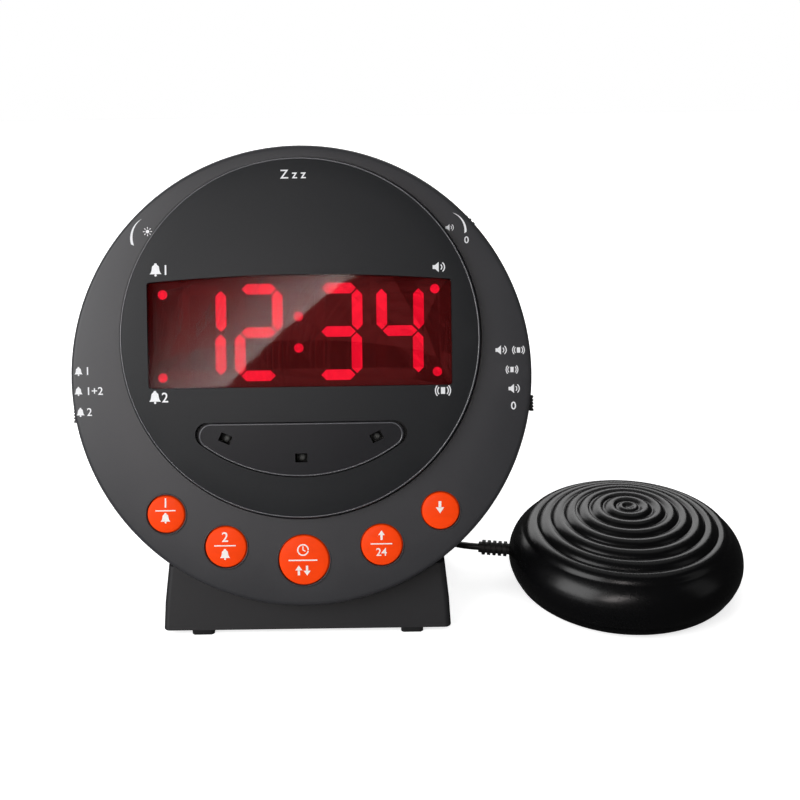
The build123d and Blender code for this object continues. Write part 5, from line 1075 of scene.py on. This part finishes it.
@dataclass
class Printer:
    """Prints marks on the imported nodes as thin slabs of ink.

    Attributes:
        photo: The picture that the marks' places are read in.
        nodes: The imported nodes.
        pixel: The size of one pixel at the face, in metres.
        proud: How far the ink stands out, in metres.
        sunk: How far the slab goes under the surface, in metres.
        jack_mark: The height of the jack's mark, and its distance over the jack.
        trees: The search trees of surfaces that were used before.
    """

    photo: Photograph
    nodes: dict[str, bpy.types.Object]
    pixel: float = 0.000314
    proud: float = 0.00004
    sunk: float = 0.00009
    jack_mark: float = 0.0045
    trees: dict[str, BVHTree] = field(default_factory=dict)

    def carrier(self, name: str) -> BVHTree:
        """The search tree of a node's surface."""
        if name not in self.trees:
            mesh = self.nodes[name].data
            self.trees[name] = BVHTree.FromPolygons([v.co.copy() for v in mesh.vertices],
                                                    [tuple(p.vertices) for p in mesh.polygons])
        return self.trees[name]

    def lie(self, hit: Vector, normal: Vector, turn: float, size: float, stretch: float,
            across: Vector = Vector((1, 0, 0))) -> Matrix:
        """The matrix that lays a drawing of one unit on a surface.

        Args:
            hit: The place on the surface.
            normal: The surface's normal there.
            turn: How far the drawing turns, in degrees.
            size: What one unit becomes, in metres.
            stretch: How much wider it is drawn.
            across: The direction that the drawing's right follows.

        Returns:
            The placing matrix.
        """
        right = (across - normal * across.dot(normal)).normalized()
        basis = Matrix((right, normal.cross(right), normal)).transposed().to_4x4()
        scale = Matrix.Diagonal((size * stretch, size, 1.0, 1.0))
        return Matrix.Translation(hit) @ basis @ Matrix.Rotation(math.radians(turn), 4, "Z") @ scale

    def slab(self, what: Union[Symbol, str]) -> bmesh.types.BMesh:
        """A slab of the drawing, one unit tall, from under the surface to over it."""
        body = bmesh.new()
        if isinstance(what, Symbol):
            for outline in symbol_outlines(what):
                face = body.faces.new([body.verts.new((x, y, -self.sunk)) for x, y in outline])
                face.normal_update()
                if face.normal.z > 0:
                    face.normal_flip()
                raised = bmesh.ops.extrude_face_region(body, geom=[face], use_keep_orig=True)
                bmesh.ops.translate(body, vec=(0, 0, self.proud + self.sunk),
                                    verts=[v for v in raised["geom"] if isinstance(v, bmesh.types.BMVert)])
            bmesh.ops.recalc_face_normals(body, faces=body.faces)
            return body
        text = bpy.data.curves.new("text", "FONT")
        text.body = what
        text.align_x, text.align_y = "CENTER", "CENTER"
        text.size = 1.0 / CAPITAL_SHARE
        text.resolution_u = 3
        text.offset = INK_SPREAD
        text.extrude = (self.proud + self.sunk) / 2
        shown = linked(text, "text")
        mesh = bpy.data.meshes.new_from_object(shown.evaluated_get(bpy.context.evaluated_depsgraph_get()))
        bpy.data.objects.remove(shown)
        body.from_mesh(mesh)
        bpy.data.meshes.remove(mesh)
        bmesh.ops.remove_doubles(body, verts=body.verts, dist=MERGE_DISTANCE)
        low = min(v.co.y for v in body.verts)
        high = max(v.co.y for v in body.verts)
        for vert in body.verts:
            vert.co.y -= (low + high) / 2
            vert.co.z += (self.proud - self.sunk) / 2
        return body

    def print_marks(self, name: str, carriers: Sequence[str], marks: Iterable[Mark], ink: Finish,
                    body_name: str, slot: str) -> bpy.types.Object:
        """Print marks that the picture shows.

        Args:
            name: The name of the printed piece.
            carriers: The nodes that carry them, the first one hit counts.
            marks: The marks.
            ink: The ink's finish.
            body_name: The body that they ride on.
            slot: The record's material slot.

        Returns:
            The printed piece.
        """
        eye = self.photo.place()
        placed = []
        for mark in marks:
            sight = self.photo.ray(mark.x_px, mark.y_px)
            hits = [hit for hit in (self.carrier(carrier).ray_cast(eye, sight) for carrier in carriers)
                    if hit[0] is not None]
            if not hits:
                LOG.warning("no surface under mark %s at %s, %s", mark.what, mark.x_px, mark.y_px)
                continue
            spot, normal, _, _ = min(hits, key=lambda hit: hit[3])
            size = mark.height_px * self.pixel
            placed.append((mark.what, self.lie(spot, normal, mark.turn, size, mark.stretch)))
        return self.join(name, placed, ink, body_name, slot)

    def print_rear(self, marks: Iterable[tuple[Symbol, float, float, float]], jack: Symbol) -> None:
        """Print the marks of the back: over the inlet, the speaker, the battery door and the jack.

        Args:
            marks: Each symbol with its place on the face's plane and its height, in metres.
            jack: The symbol over the shaker's jack.
        """
        face = self.photo.face
        low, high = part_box("shaker_jack")
        aims = [(symbol, "rear_case", face.point(across, up, -FAR_OFF / 2), face.out, size)
                for symbol, across, up, size in marks]
        aims.append((jack, "stand", Vector(((low.x + high.x) / 2, FAR_OFF, high.z + self.jack_mark)),
                     Vector((0, -1, 0)), self.jack_mark))
        placed = []
        for symbol, carrier, begin, sight, size in aims:
            spot, normal, _, _ = self.carrier(carrier).ray_cast(begin, sight)
            if spot is None:
                LOG.warning("no surface under %s", symbol)
            else:
                placed.append((symbol, self.lie(spot, normal, 0.0, size, 1.0, Vector((-1, 0, 0)))))
        self.join("rear_marks", placed, INK_WHITE, "clock", "grey_case")

    def join(self, name: str, placed: Sequence[tuple[Union[Symbol, str], Matrix]], ink: Finish,
             body_name: str, slot: str) -> bpy.types.Object:
        """Join placed drawings into one piece.

        Args:
            name: The piece's name.
            placed: The drawings with their placing matrices.
            ink: The ink's finish.
            body_name: The body that they ride on.
            slot: The record's material slot.

        Returns:
            The piece.
        """
        mesh = bpy.data.meshes.new(name)
        whole = bmesh.new()
        for what, matrix in placed:
            body = self.slab(what)
            body.transform(matrix)
            if matrix.determinant() < 0:
                bmesh.ops.reverse_faces(body, faces=body.faces)
            part = bpy.data.meshes.new("slab")
            body.to_mesh(part)
            body.free()
            whole.from_mesh(part)
            bpy.data.meshes.remove(part)
        whole.to_mesh(mesh)
        whole.free()
        mesh.materials.append(ink.material())
        return piece(mesh, name, body_name, slot)


class Grower(NodeBench):
    """A Geometry Nodes tree that is run once and leaves a plain mesh."""

    def __init__(self, name: str) -> None:
        """Make a tree with a geometry input and output."""
        super().__init__(bpy.data.node_groups.new(name, "GeometryNodeTree"))
        for way in ("INPUT", "OUTPUT"):
            self.tree.interface.new_socket("Geometry", in_out=way, socket_type="NodeSocketGeometry")
        self.source = self.add("NodeGroupInput")
        self.values: dict[str, Any] = {}

    def given(self, name: str, kind: str, value: Any) -> Wire:
        """Add a named input of the tree and keep its value.

        Args:
            name: The input's name.
            kind: The socket's type.
            value: What it is set to.

        Returns:
            The input inside the tree.
        """
        item = self.tree.interface.new_socket(name, in_out="INPUT", socket_type=kind)
        self.values[item.identifier] = value
        identifiers = [socket.identifier for socket in self.source.node.outputs]
        return self.source.out(identifiers.index(item.identifier))

    def curve_circle(self, inputs: dict) -> Wire:
        """A circle with the given Resolution and Radius."""
        return self.add("GeometryNodeCurvePrimitiveCircle", {"mode": "RADIUS"}, inputs).out()

    def shift(self, shape: Wire, by: tuple[float, float, float]) -> Wire:
        """A shape, moved."""
        return self.add("GeometryNodeTransform", None, {0: shape, "Translation": by}).out()

    def sweep(self, line: Wire, section: Wire) -> Wire:
        """A section drawn along a line."""
        return self.add("GeometryNodeCurveToMesh", None, {"Curve": line, "Profile Curve": section}).out()

    def grow(self, source: bpy.types.Mesh, last: Wire, finish: Finish, name: str) -> bpy.types.Mesh:
        """Run the tree on a mesh and keep what it makes.

        Args:
            source: The mesh that the tree starts from.
            last: The shape that it ends with.
            finish: The finish that it is given.
            name: The name of the plain mesh.

        Returns:
            The plain mesh.
        """
        worn = self.given("Finish", "NodeSocketMaterial", finish.material())
        real = self.add("GeometryNodeRealizeInstances", None, {0: last}).out()
        smooth = self.add("GeometryNodeSetShadeSmooth", None, {0: real}).out()
        dressed = self.add("GeometryNodeSetMaterial", None, {"Geometry": smooth, "Material": worn}).out()
        self.add("NodeGroupOutput", None, {0: dressed})
        host = linked(source, name + "_seed")
        modifier = host.modifiers.new("grow", "NODES")
        modifier.node_group = self.tree
        for identifier, value in self.values.items():
            modifier[identifier] = value
        evaluated = host.evaluated_get(bpy.context.evaluated_depsgraph_get())
        mesh = bpy.data.meshes.new_from_object(evaluated)
        bpy.data.objects.remove(host)
        mesh.name = name
        mesh.materials.clear()
        mesh.materials.append(finish.material())
        body = bmesh.new()
        body.from_mesh(mesh)
        bmesh.ops.remove_doubles(body, verts=body.verts, dist=MERGE_DISTANCE)
        bmesh.ops.dissolve_degenerate(body, edges=body.edges, dist=SLIVER_LENGTH)
        bmesh.ops.recalc_face_normals(body, faces=body.faces)
        body.to_mesh(mesh)
        body.free()
        LOG.info("%s: %d faces", name, len(mesh.polygons))
        return mesh


@dataclass
class ShakerTop:
    """The shaker's rippled top shell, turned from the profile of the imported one.

    Attributes:
        printer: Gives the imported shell's surface.
        node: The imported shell.
        step: The distance between two points of the profile.
        wall: The shell's wall.
        ways: How many steps go round.
        angle: The direction, free of screws, in which the profile is read, in degrees.
        hub: The radius of the circle that the profile is swept along, and shifted back by.
        flank_height: How high over the shell's lower edge the flank begins, which is read sideways.
        coarse: One point of the inside for so many of the outside.
        clear: How far off the shell the rays start.
    """

    printer: Printer
    node: str = "shaker_top_shell"
    step: float = 0.0003
    wall: float = 0.002
    ways: int = 220
    angle: float = 120.0
    hub: float = 0.02
    flank_height: float = 0.0075
    coarse: int = 6
    clear: float = 0.01

    def profile(self) -> tuple[Vector, list[tuple[float, float]]]:
        """Read the profile.

        Returns:
            The shell's middle on the table, and radius and height along its outside and back inside.
        """
        low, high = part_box(self.node)
        middle = Vector(((low.x + high.x) / 2, (low.y + high.y) / 2, 0))
        reach = (high.x - low.x) / 2
        ray = Vector((math.cos(math.radians(self.angle)), math.sin(math.radians(self.angle)), 0))
        tree = self.printer.carrier(self.node)
        outside: list[tuple[float, float]] = []
        for k in range(int(reach / self.step)):
            radius = k * self.step + 1e-6
            hit = tree.ray_cast(middle + ray * radius + Vector((0, 0, high.z + self.clear)),
                                Vector((0, 0, -1)))
            if hit[0] is None or hit[0].z < low.z + self.flank_height:
                break
            outside.append((0.0 if k == 0 else radius, hit[0].z))
        height = outside[-1][1] - self.step
        while height > low.z + 1e-5:
            hit = tree.ray_cast(middle + ray * (reach + self.clear) + Vector((0, 0, height)), -ray)
            if hit[0] is not None:
                outside.append(((hit[0] - middle).xy.length, height))
            height -= self.step
        outside.append((outside[-1][0], low.z))
        inside = [(max(radius - self.wall, 0.0), low.z if k == 0 else max(height - self.wall, low.z))
                  for k, (radius, height) in enumerate(outside[::-1]) if k % self.coarse == 0]
        inside = [(radius, height) for radius, height in inside if radius > 0] + [(0.0, inside[-1][1])]
        return middle, outside + inside

    def build(self) -> bpy.types.Object:
        """Turn the profile round.

        Returns:
            The shell.
        """
        middle, points = self.profile()
        mesh = bpy.data.meshes.new("profile")
        mesh.from_pydata([(radius, -height, 0) for radius, height in points],
                         [(k, k + 1) for k in range(len(points) - 1)], [])
        grower = Grower("turned_shell")
        ways = grower.given("Ways", "NodeSocketInt", self.ways)
        curve = grower.add("GeometryNodeMeshToCurve", None, {0: grower.source.out()}).out()
        path = grower.curve_circle({"Resolution": ways, "Radius": self.hub})
        turned = grower.sweep(path, grower.shift(curve, (-self.hub, 0, 0)))
        shell = grower.grow(mesh, grower.shift(turned, tuple(middle)), SHAKER_BLACK, "rippled_top_shell")
        return piece(shell, "rippled_top_shell", "shaker", "shaker_plastic", self.node)


@dataclass
class EdgeBeads:
    """Fine beads of smooth plastic: round each front button, round the disc and round the light panel. Those of the
    disc and the panel are far paler than the plastic beside them, a painted highlight along those edges.

    Attributes:
        face: The clock's face.
        printer: Finds the surfaces.
        gap: From a button's side to its bead's middle.
        bead: The radius of a button's bead.
        line: The radius of the beads of the disc and the panel.
        disc_up: How far the disc's middle is above the ring's.
        disc_radius: The radius of the disc's bead.
        panel_top: Where the panel's straight edge is.
        panel_arc_up: The middle of the panel's arc.
        panel_arc_radius: Its radius.
        panel_round: The rounding of the panel's ends.
        panel_steps: The steps of one of its ends, of its arc and of its straight edge.
        disc_steps: The steps round the disc.
        button_steps: The steps round one button.
        section_steps: The steps round a bead's section.
        flange: How far the flange under the ring reaches past a button's side.
    """

    face: FacePlane
    printer: Printer
    gap: float = 0.0006
    bead: float = 0.0002
    line: float = 0.00022
    disc_up: float = 0.012
    disc_radius: float = 0.0558
    panel_top: float = -0.0145
    panel_arc_up: float = 0.021
    panel_arc_radius: float = 0.0516
    panel_round: float = 0.0036
    panel_steps: tuple[int, int, int] = (14, 60, 30)
    disc_steps: int = 180
    button_steps: int = 96
    section_steps: int = 10
    flange: float = 0.001

    def height(self, node: str, across: float, up: float) -> float:
        """How far a node's surface stands proud of the face's plane at a place."""
        hit = self.printer.carrier(node).ray_cast(self.face.point(across, up, FAR_OFF), -self.face.out)
        return (hit[0] - self.face.middle).dot(self.face.out)

    def buttons(self, names: Sequence[str]) -> bpy.types.Object:
        """Repeat one bead on the places of the buttons.

        Args:
            names: The buttons' nodes.

        Returns:
            The beads as one piece.
        """
        spots, sizes = [], []
        for name in names:
            places = [v.co - self.face.middle for v in self.printer.nodes[name].data.vertices]
            wide = [place.dot(self.face.right) for place in places]
            tall = [place.dot(self.face.along) for place in places]
            across, up = (min(wide) + max(wide)) / 2, (min(tall) + max(tall)) / 2
            radius = (max(wide) - min(wide)) / 2 - self.flange + self.gap
            spots.append(self.face.point(across, up, self.height("front_ring", across + radius, up)))
            sizes.append(radius)
        mesh = bpy.data.meshes.new("button_spots")
        mesh.from_pydata(spots, [], [])
        mesh.attributes.new("size", "FLOAT", "POINT").data.foreach_set("value", sizes)
        grower = Grower("repeated_beads")
        bead = grower.given("Bead", "NodeSocketFloat", self.bead)
        lean = grower.given("Lean", "NodeSocketVector", self.face.lean())
        ring = grower.curve_circle({"Resolution": self.button_steps, "Radius": 1.0})
        size = grower.add("GeometryNodeInputNamedAttribute", {"data_type": "FLOAT"}, {"Name": "size"}).out()
        beads = grower.add("GeometryNodeInstanceOnPoints", None,
                           {"Points": grower.source.out(), "Instance": ring, "Scale": size,
                            "Rotation": lean}).out()
        real = grower.add("GeometryNodeRealizeInstances", None, {0: beads}).out()
        return self.swept(grower, real, bead, mesh, FACE_BLACK, "button_bezels")

    def swept(self, grower: Grower, lines: Wire, bead: Wire, mesh: bpy.types.Mesh, finish: Finish,
              name: str) -> bpy.types.Object:
        """Give lines a round section and hang them on the clock.

        Args:
            grower: The tree.
            lines: The lines.
            bead: The section's radius.
            mesh: What the tree starts from.
            finish: The beads' finish.
            name: The piece's name.

        Returns:
            The piece.
        """
        section = grower.curve_circle({"Resolution": self.section_steps, "Radius": bead})
        beads = grower.grow(mesh, grower.sweep(lines, section), finish, name)
        return piece(beads, name, "clock", "face_plastic")

    def outline(self) -> list[tuple[float, float]]:
        """The panel's outline on the face: a straight top, two round ends and one long arc."""
        side = math.sqrt((self.panel_arc_radius - self.panel_round) ** 2
                         - (self.panel_arc_up - self.panel_top + self.panel_round) ** 2)
        low = self.panel_top - self.panel_round
        lean = math.atan2(low - self.panel_arc_up, side)
        end_steps, arc_steps, top_steps = self.panel_steps
        end = [round_point(side, low, self.panel_round, math.pi / 2 + (lean - math.pi / 2) * k / end_steps)
               for k in range(end_steps + 1)]
        long_arc = [round_point(0, self.panel_arc_up, self.panel_arc_radius,
                                lean - (math.pi + 2 * lean) * k / arc_steps) for k in range(1, arc_steps)]
        top = [(side - 2 * side * k / top_steps, self.panel_top) for k in range(top_steps - 1, 0, -1)]
        return end + long_arc + [(-x, y) for x, y in end[::-1]] + top

    def lines(self) -> bpy.types.Object:
        """The beads round the disc and the panel, in a pale gloss that paints a highlight line along both edges.

        Returns:
            The two beads as one piece.
        """
        loops = [("alert_light_panel", self.outline()),
                 ("face_disc", disc(0, self.disc_up, self.disc_radius, self.disc_steps))]
        spots: list[Vector] = []
        edges: list[tuple[int, int]] = []
        for node, loop in loops:
            first = len(spots)
            spots += [self.face.point(x, y, self.height(node, x, y)) for x, y in loop]
            edges += [(first + k, first + (k + 1) % len(loop)) for k in range(len(loop))]
        mesh = bpy.data.meshes.new("edge_lines")
        mesh.from_pydata(spots, edges, [])
        grower = Grower("painted_highlight_beads")
        bead = grower.given("Bead", "NodeSocketFloat", self.line)
        curve = grower.add("GeometryNodeMeshToCurve", None, {0: grower.source.out()}).out()
        # The disc's and the panel's beads get the pale painted-highlight finish.
        return self.swept(grower, curve, bead, mesh, EDGE_PAINTED_HIGHLIGHT, "painted_highlight_beads")

    def build(self, names: Sequence[str]) -> None:
        """Make all the beads."""
        self.buttons(names)
        self.lines()


@dataclass(frozen=True)
class GlareCard:
    """A bright card beside the camera, whose edge is seen as the slanted glare in the window.

    Attributes:
        photo: The picture.
        edge_px: Pixels along the glare's edge.
        rest_px: Pixels round the rest of the bright side.
        away: How far in front of the face the card stands.
        light: Its brightness at the edge.
        colour: The light's colour.
        fade_px: How far from the edge it has faded, in pixels.
        bulge: The radius of the window's outside.
        raised: How far the window's outside stands proud of the face's plane at its crown.
        crown_up: How far above the ring's middle the crown is.
    """

    photo: Photograph
    edge_px: tuple[tuple[float, float], ...] = ((224, 390), (230, 383), (258, 354), (289, 325), (324, 296),
                                                (358, 274), (368, 267))
    rest_px: tuple[tuple[float, float], ...] = ((146, 267), (146, 390))
    away: float = 0.9
    light: float = 27.0
    colour: Colour = (1.0, 0.93, 0.92)
    fade_px: float = 125.0
    bulge: float = 0.4836
    raised: float = 0.0059
    crown_up: float = 0.012

    def beyond(self, x_px: float, y_px: float) -> Vector:
        """Where the reflection seen at a pixel meets the card's plane."""
        face, eye, sight = self.photo.face, self.photo.place(), self.photo.ray(x_px, y_px)
        middle = face.point(0.0, self.crown_up, self.raised - self.bulge)
        to_eye = eye - middle
        along = sight.dot(to_eye)
        run = -along - math.sqrt(max(along ** 2 - to_eye.length_squared + self.bulge ** 2, 0.0))
        spot = eye + sight * run
        normal = (spot - middle).normalized()
        bounce = sight - normal * (2 * sight.dot(normal))
        return spot + bounce * ((self.away - (spot - face.middle).dot(face.out)) / bounce.dot(face.out))

    def build(self) -> bpy.types.Object:
        """Stand the card up.

        Returns:
            The card.
        """
        corners = [self.beyond(*pixel) for pixel in self.edge_px + self.rest_px]
        mesh = bpy.data.meshes.new("glare_card")
        mesh.from_pydata(corners, [], [tuple(range(len(corners)))])
        bench = Bench(bpy.data.materials.new("glare_white"))
        first, second = Vector(self.edge_px[1]), Vector(self.edge_px[5])
        along = (second - first).normalized()
        middle = (first + second) / 2
        begin = self.beyond(*middle)
        end = self.beyond(*(middle + Vector((along.y, -along.x)) * self.fade_px))
        way = (end - begin) / (end - begin).length_squared
        reached = bench.add("ShaderNodeVectorMath", {"operation": "DOT_PRODUCT"},
                            {0: bench.place(), 1: tuple(way)}).out("Value")
        left = 1 - (reached - begin.dot(way)).within(0.0, 1.0)
        mesh.materials.append(bench.surface({
            "Base Color": BLACK, "Specular IOR Level": 0.0, "Emission Strength": self.light,
            "Emission Color": bench.blend(left * left * left, BLACK, self.colour)}))
        card = linked(mesh, "glare_card")
        card.visible_camera = card.visible_diffuse = card.visible_shadow = False
        card.visible_transmission = False
        return card


BUTTON_MARKS: dict[str, tuple[Mark, ...]] = {
    "alarm_one_button": (Mark("1", 165.5, 503.0, 9.5), Mark(Symbol.RULE, 165.5, 510.8, 7.5, 0.0, 1.35),
                         Mark(Symbol.BELL, 165.5, 518.3, 10.5)),
    "alarm_two_button": (Mark("2", 225.0, 537.0, 10.0), Mark(Symbol.RULE, 225.0, 545.8, 8.0, 0.0, 1.35),
                         Mark(Symbol.BELL, 225.0, 554.5, 11.0)),
    "time_button": (Mark(Symbol.CLOCK, 303.0, 550.0, 12.5), Mark(Symbol.RULE, 303.0, 560.3, 9.0, 0.0, 1.6),
                    Mark(Symbol.UP_DOWN, 303.0, 570.5, 11.5)),
    "up_button": (Mark(Symbol.UP, 381.5, 535.3, 11.0), Mark(Symbol.RULE, 381.5, 543.8, 8.0, 0.0, 1.35),
                  Mark("24", 381.5, 551.9, 8.0)),
    "down_button": (Mark(Symbol.DOWN, 440.0, 507.0, 14.0),),
}
REAR_MARKS: tuple[tuple[Symbol, float, float, float], ...] = (
    (Symbol.PLUG_POLES, 0.021, -0.0145, 0.0042), (Symbol.BELL, -0.020, -0.0015, 0.0042),
    (Symbol.DOWN, 0.0, 0.0335, 0.0042),
)
FACE_MARKS: tuple[Mark, ...] = (
    Mark(Symbol.BELL, 155.5, 270.0, 13.0), Mark("1", 165.5, 270.0, 10.0),
    Mark(Symbol.BELL, 155.0, 397.5, 13.0), Mark("2", 165.0, 397.5, 10.0),
    Mark(Symbol.SOUND, 438.7, 267.0, 12.0), Mark(Symbol.SHAKE, 443.0, 390.5, 14.0),
    Mark(Symbol.BELL, 78.5, 371.5, 9.0), Mark("1", 87.5, 371.0, 8.0),
    Mark(Symbol.BELL, 78.5, 391.5, 9.0), Mark("1+2", 94.5, 391.0, 8.0),
    Mark(Symbol.BELL, 80.5, 412.5, 9.0), Mark("2", 89.5, 412.0, 8.0),
    Mark(Symbol.SOUND, 501.0, 350.0, 11.0), Mark(Symbol.SHAKE, 518.5, 350.0, 11.0),
    Mark(Symbol.SHAKE, 512.0, 369.5, 11.0), Mark(Symbol.SOUND, 514.0, 388.5, 11.0),
    Mark("0", 513.5, 405.5, 8.0),
    Mark(Symbol.SUN, 147.5, 231.6, 9.0), Mark(Symbol.SWEEP, 136.5, 232.0, 27.0, -23.0),
    Mark(Symbol.SOUND, 449.5, 227.5, 8.0), Mark(Symbol.SWEEP, 459.5, 222.5, 23.0, 35.0, -1.0),
    Mark("0", 466.5, 239.8, 7.0), Mark("Z z z", 293.0, 174.0, 9.0),
)


DRESSES: tuple[tuple[Finish, str, str], ...] = (
    (FACE_BLACK, "face_plastic", "front_ring"), (DISC_BLACK, "face_plastic", "face_disc"),
    (LENS_RED, "red_lens", "display_lens"), (DISPLAY_BODY, "module_black", "display_module"),
    (DISPLAY_LIT, "lit_red", "lit_segments"), (DISPLAY_DARK, "unlit_red", "unlit_segments"),
    (PANEL_BLACK, "dark_plastic", "alert_light_panel"), (LAMP_CLEAR, "clear_led", "alert_leds"),
    (BOARD_GREEN, "board_green", "button_board main_board snooze_board"),
    (CHIP_BLACK, "switch_black", "button_switches snooze_switch alarm_select_switch alert_mode_switch "
     "controller_chip dimmer_potentiometer volume_potentiometer power_inlet shaker_jack"),
    (CAN_BLUE, "capacitor_sleeve", "capacitors"),
    (TRIM_BLACK, "dark_plastic", "dimmer_wheel volume_wheel alarm_select_knob alert_mode_knob snooze_bar "
     "battery_clip"),
    (CASE_GREY, "grey_case", "rear_case battery_door stand stand_cover"),
    (SCREW_ZINC, "screw_steel", "board_screws case_screws stand_screws cover_screws shaker_screws "
     "speaker_frame"),
    (BATTERY_CAN, "battery_steel", "backup_battery"), (MAGNET_IRON, "magnet_iron", "speaker_magnet"),
    (CONE_PAPER, "speaker_paper", "speaker_cone"),
    (RUBBER_BLACK, "cord_black", "shaker_plug"),
    (RUBBER_BLACK, "black_rubber", "rubber_feet cord_tie shaker_pad strain_relief"),
    (SHAKER_BLACK, "shaker_plastic", "shaker_bottom_shell motor_bracket"),
    (MOTOR_STEEL, "motor_steel", "shaker_motor motor_shaft motor_strap"),
    (WEIGHT_BRASS, "weight_brass", "eccentric_weight"),
    (BUTTON_ORANGE_PAINTED_GLOW, "orange_button", " ".join(BUTTON_MARKS)),
)


def main() -> None:
    """Build the whole picture."""
    logging.basicConfig(level=logging.INFO, format="%(name)s: %(message)s")
    bpy.context.scene.view_settings.view_transform = "Standard"
    face = FacePlane()
    photo = Photograph(face)
    photo.set_up()
    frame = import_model()
    lead = Lead()
    strand = lead.build()
    bodies = {node: body for body, nodes in frame["record"]["behaviour"]["bodies"].items()
              for node in nodes}
    dresser = Dresser(frame["nodes"], bodies)
    shown = {name: dresser.dress(name, finish, slot) for finish, slot, names in DRESSES
             for name in names.split()}
    printer = Printer(photo, frame["nodes"])
    printer.print_marks("face_marks", ("face_disc", "front_ring"), FACE_MARKS, INK_WHITE, "clock",
                        "face_plastic")
    for name, marks in BUTTON_MARKS.items():
        printer.print_marks(name + "_marks", (name,), marks, INK_PALE, bodies[name], "orange_button")
    printer.print_rear(REAR_MARKS, Symbol.SHAKE)
    EdgeBeads(face, printer).build(tuple(BUTTON_MARKS))
    ShakerTop(printer).build()
    Room().build()
    GlareCard(photo).build()


if __name__ == "__main__":
    main()
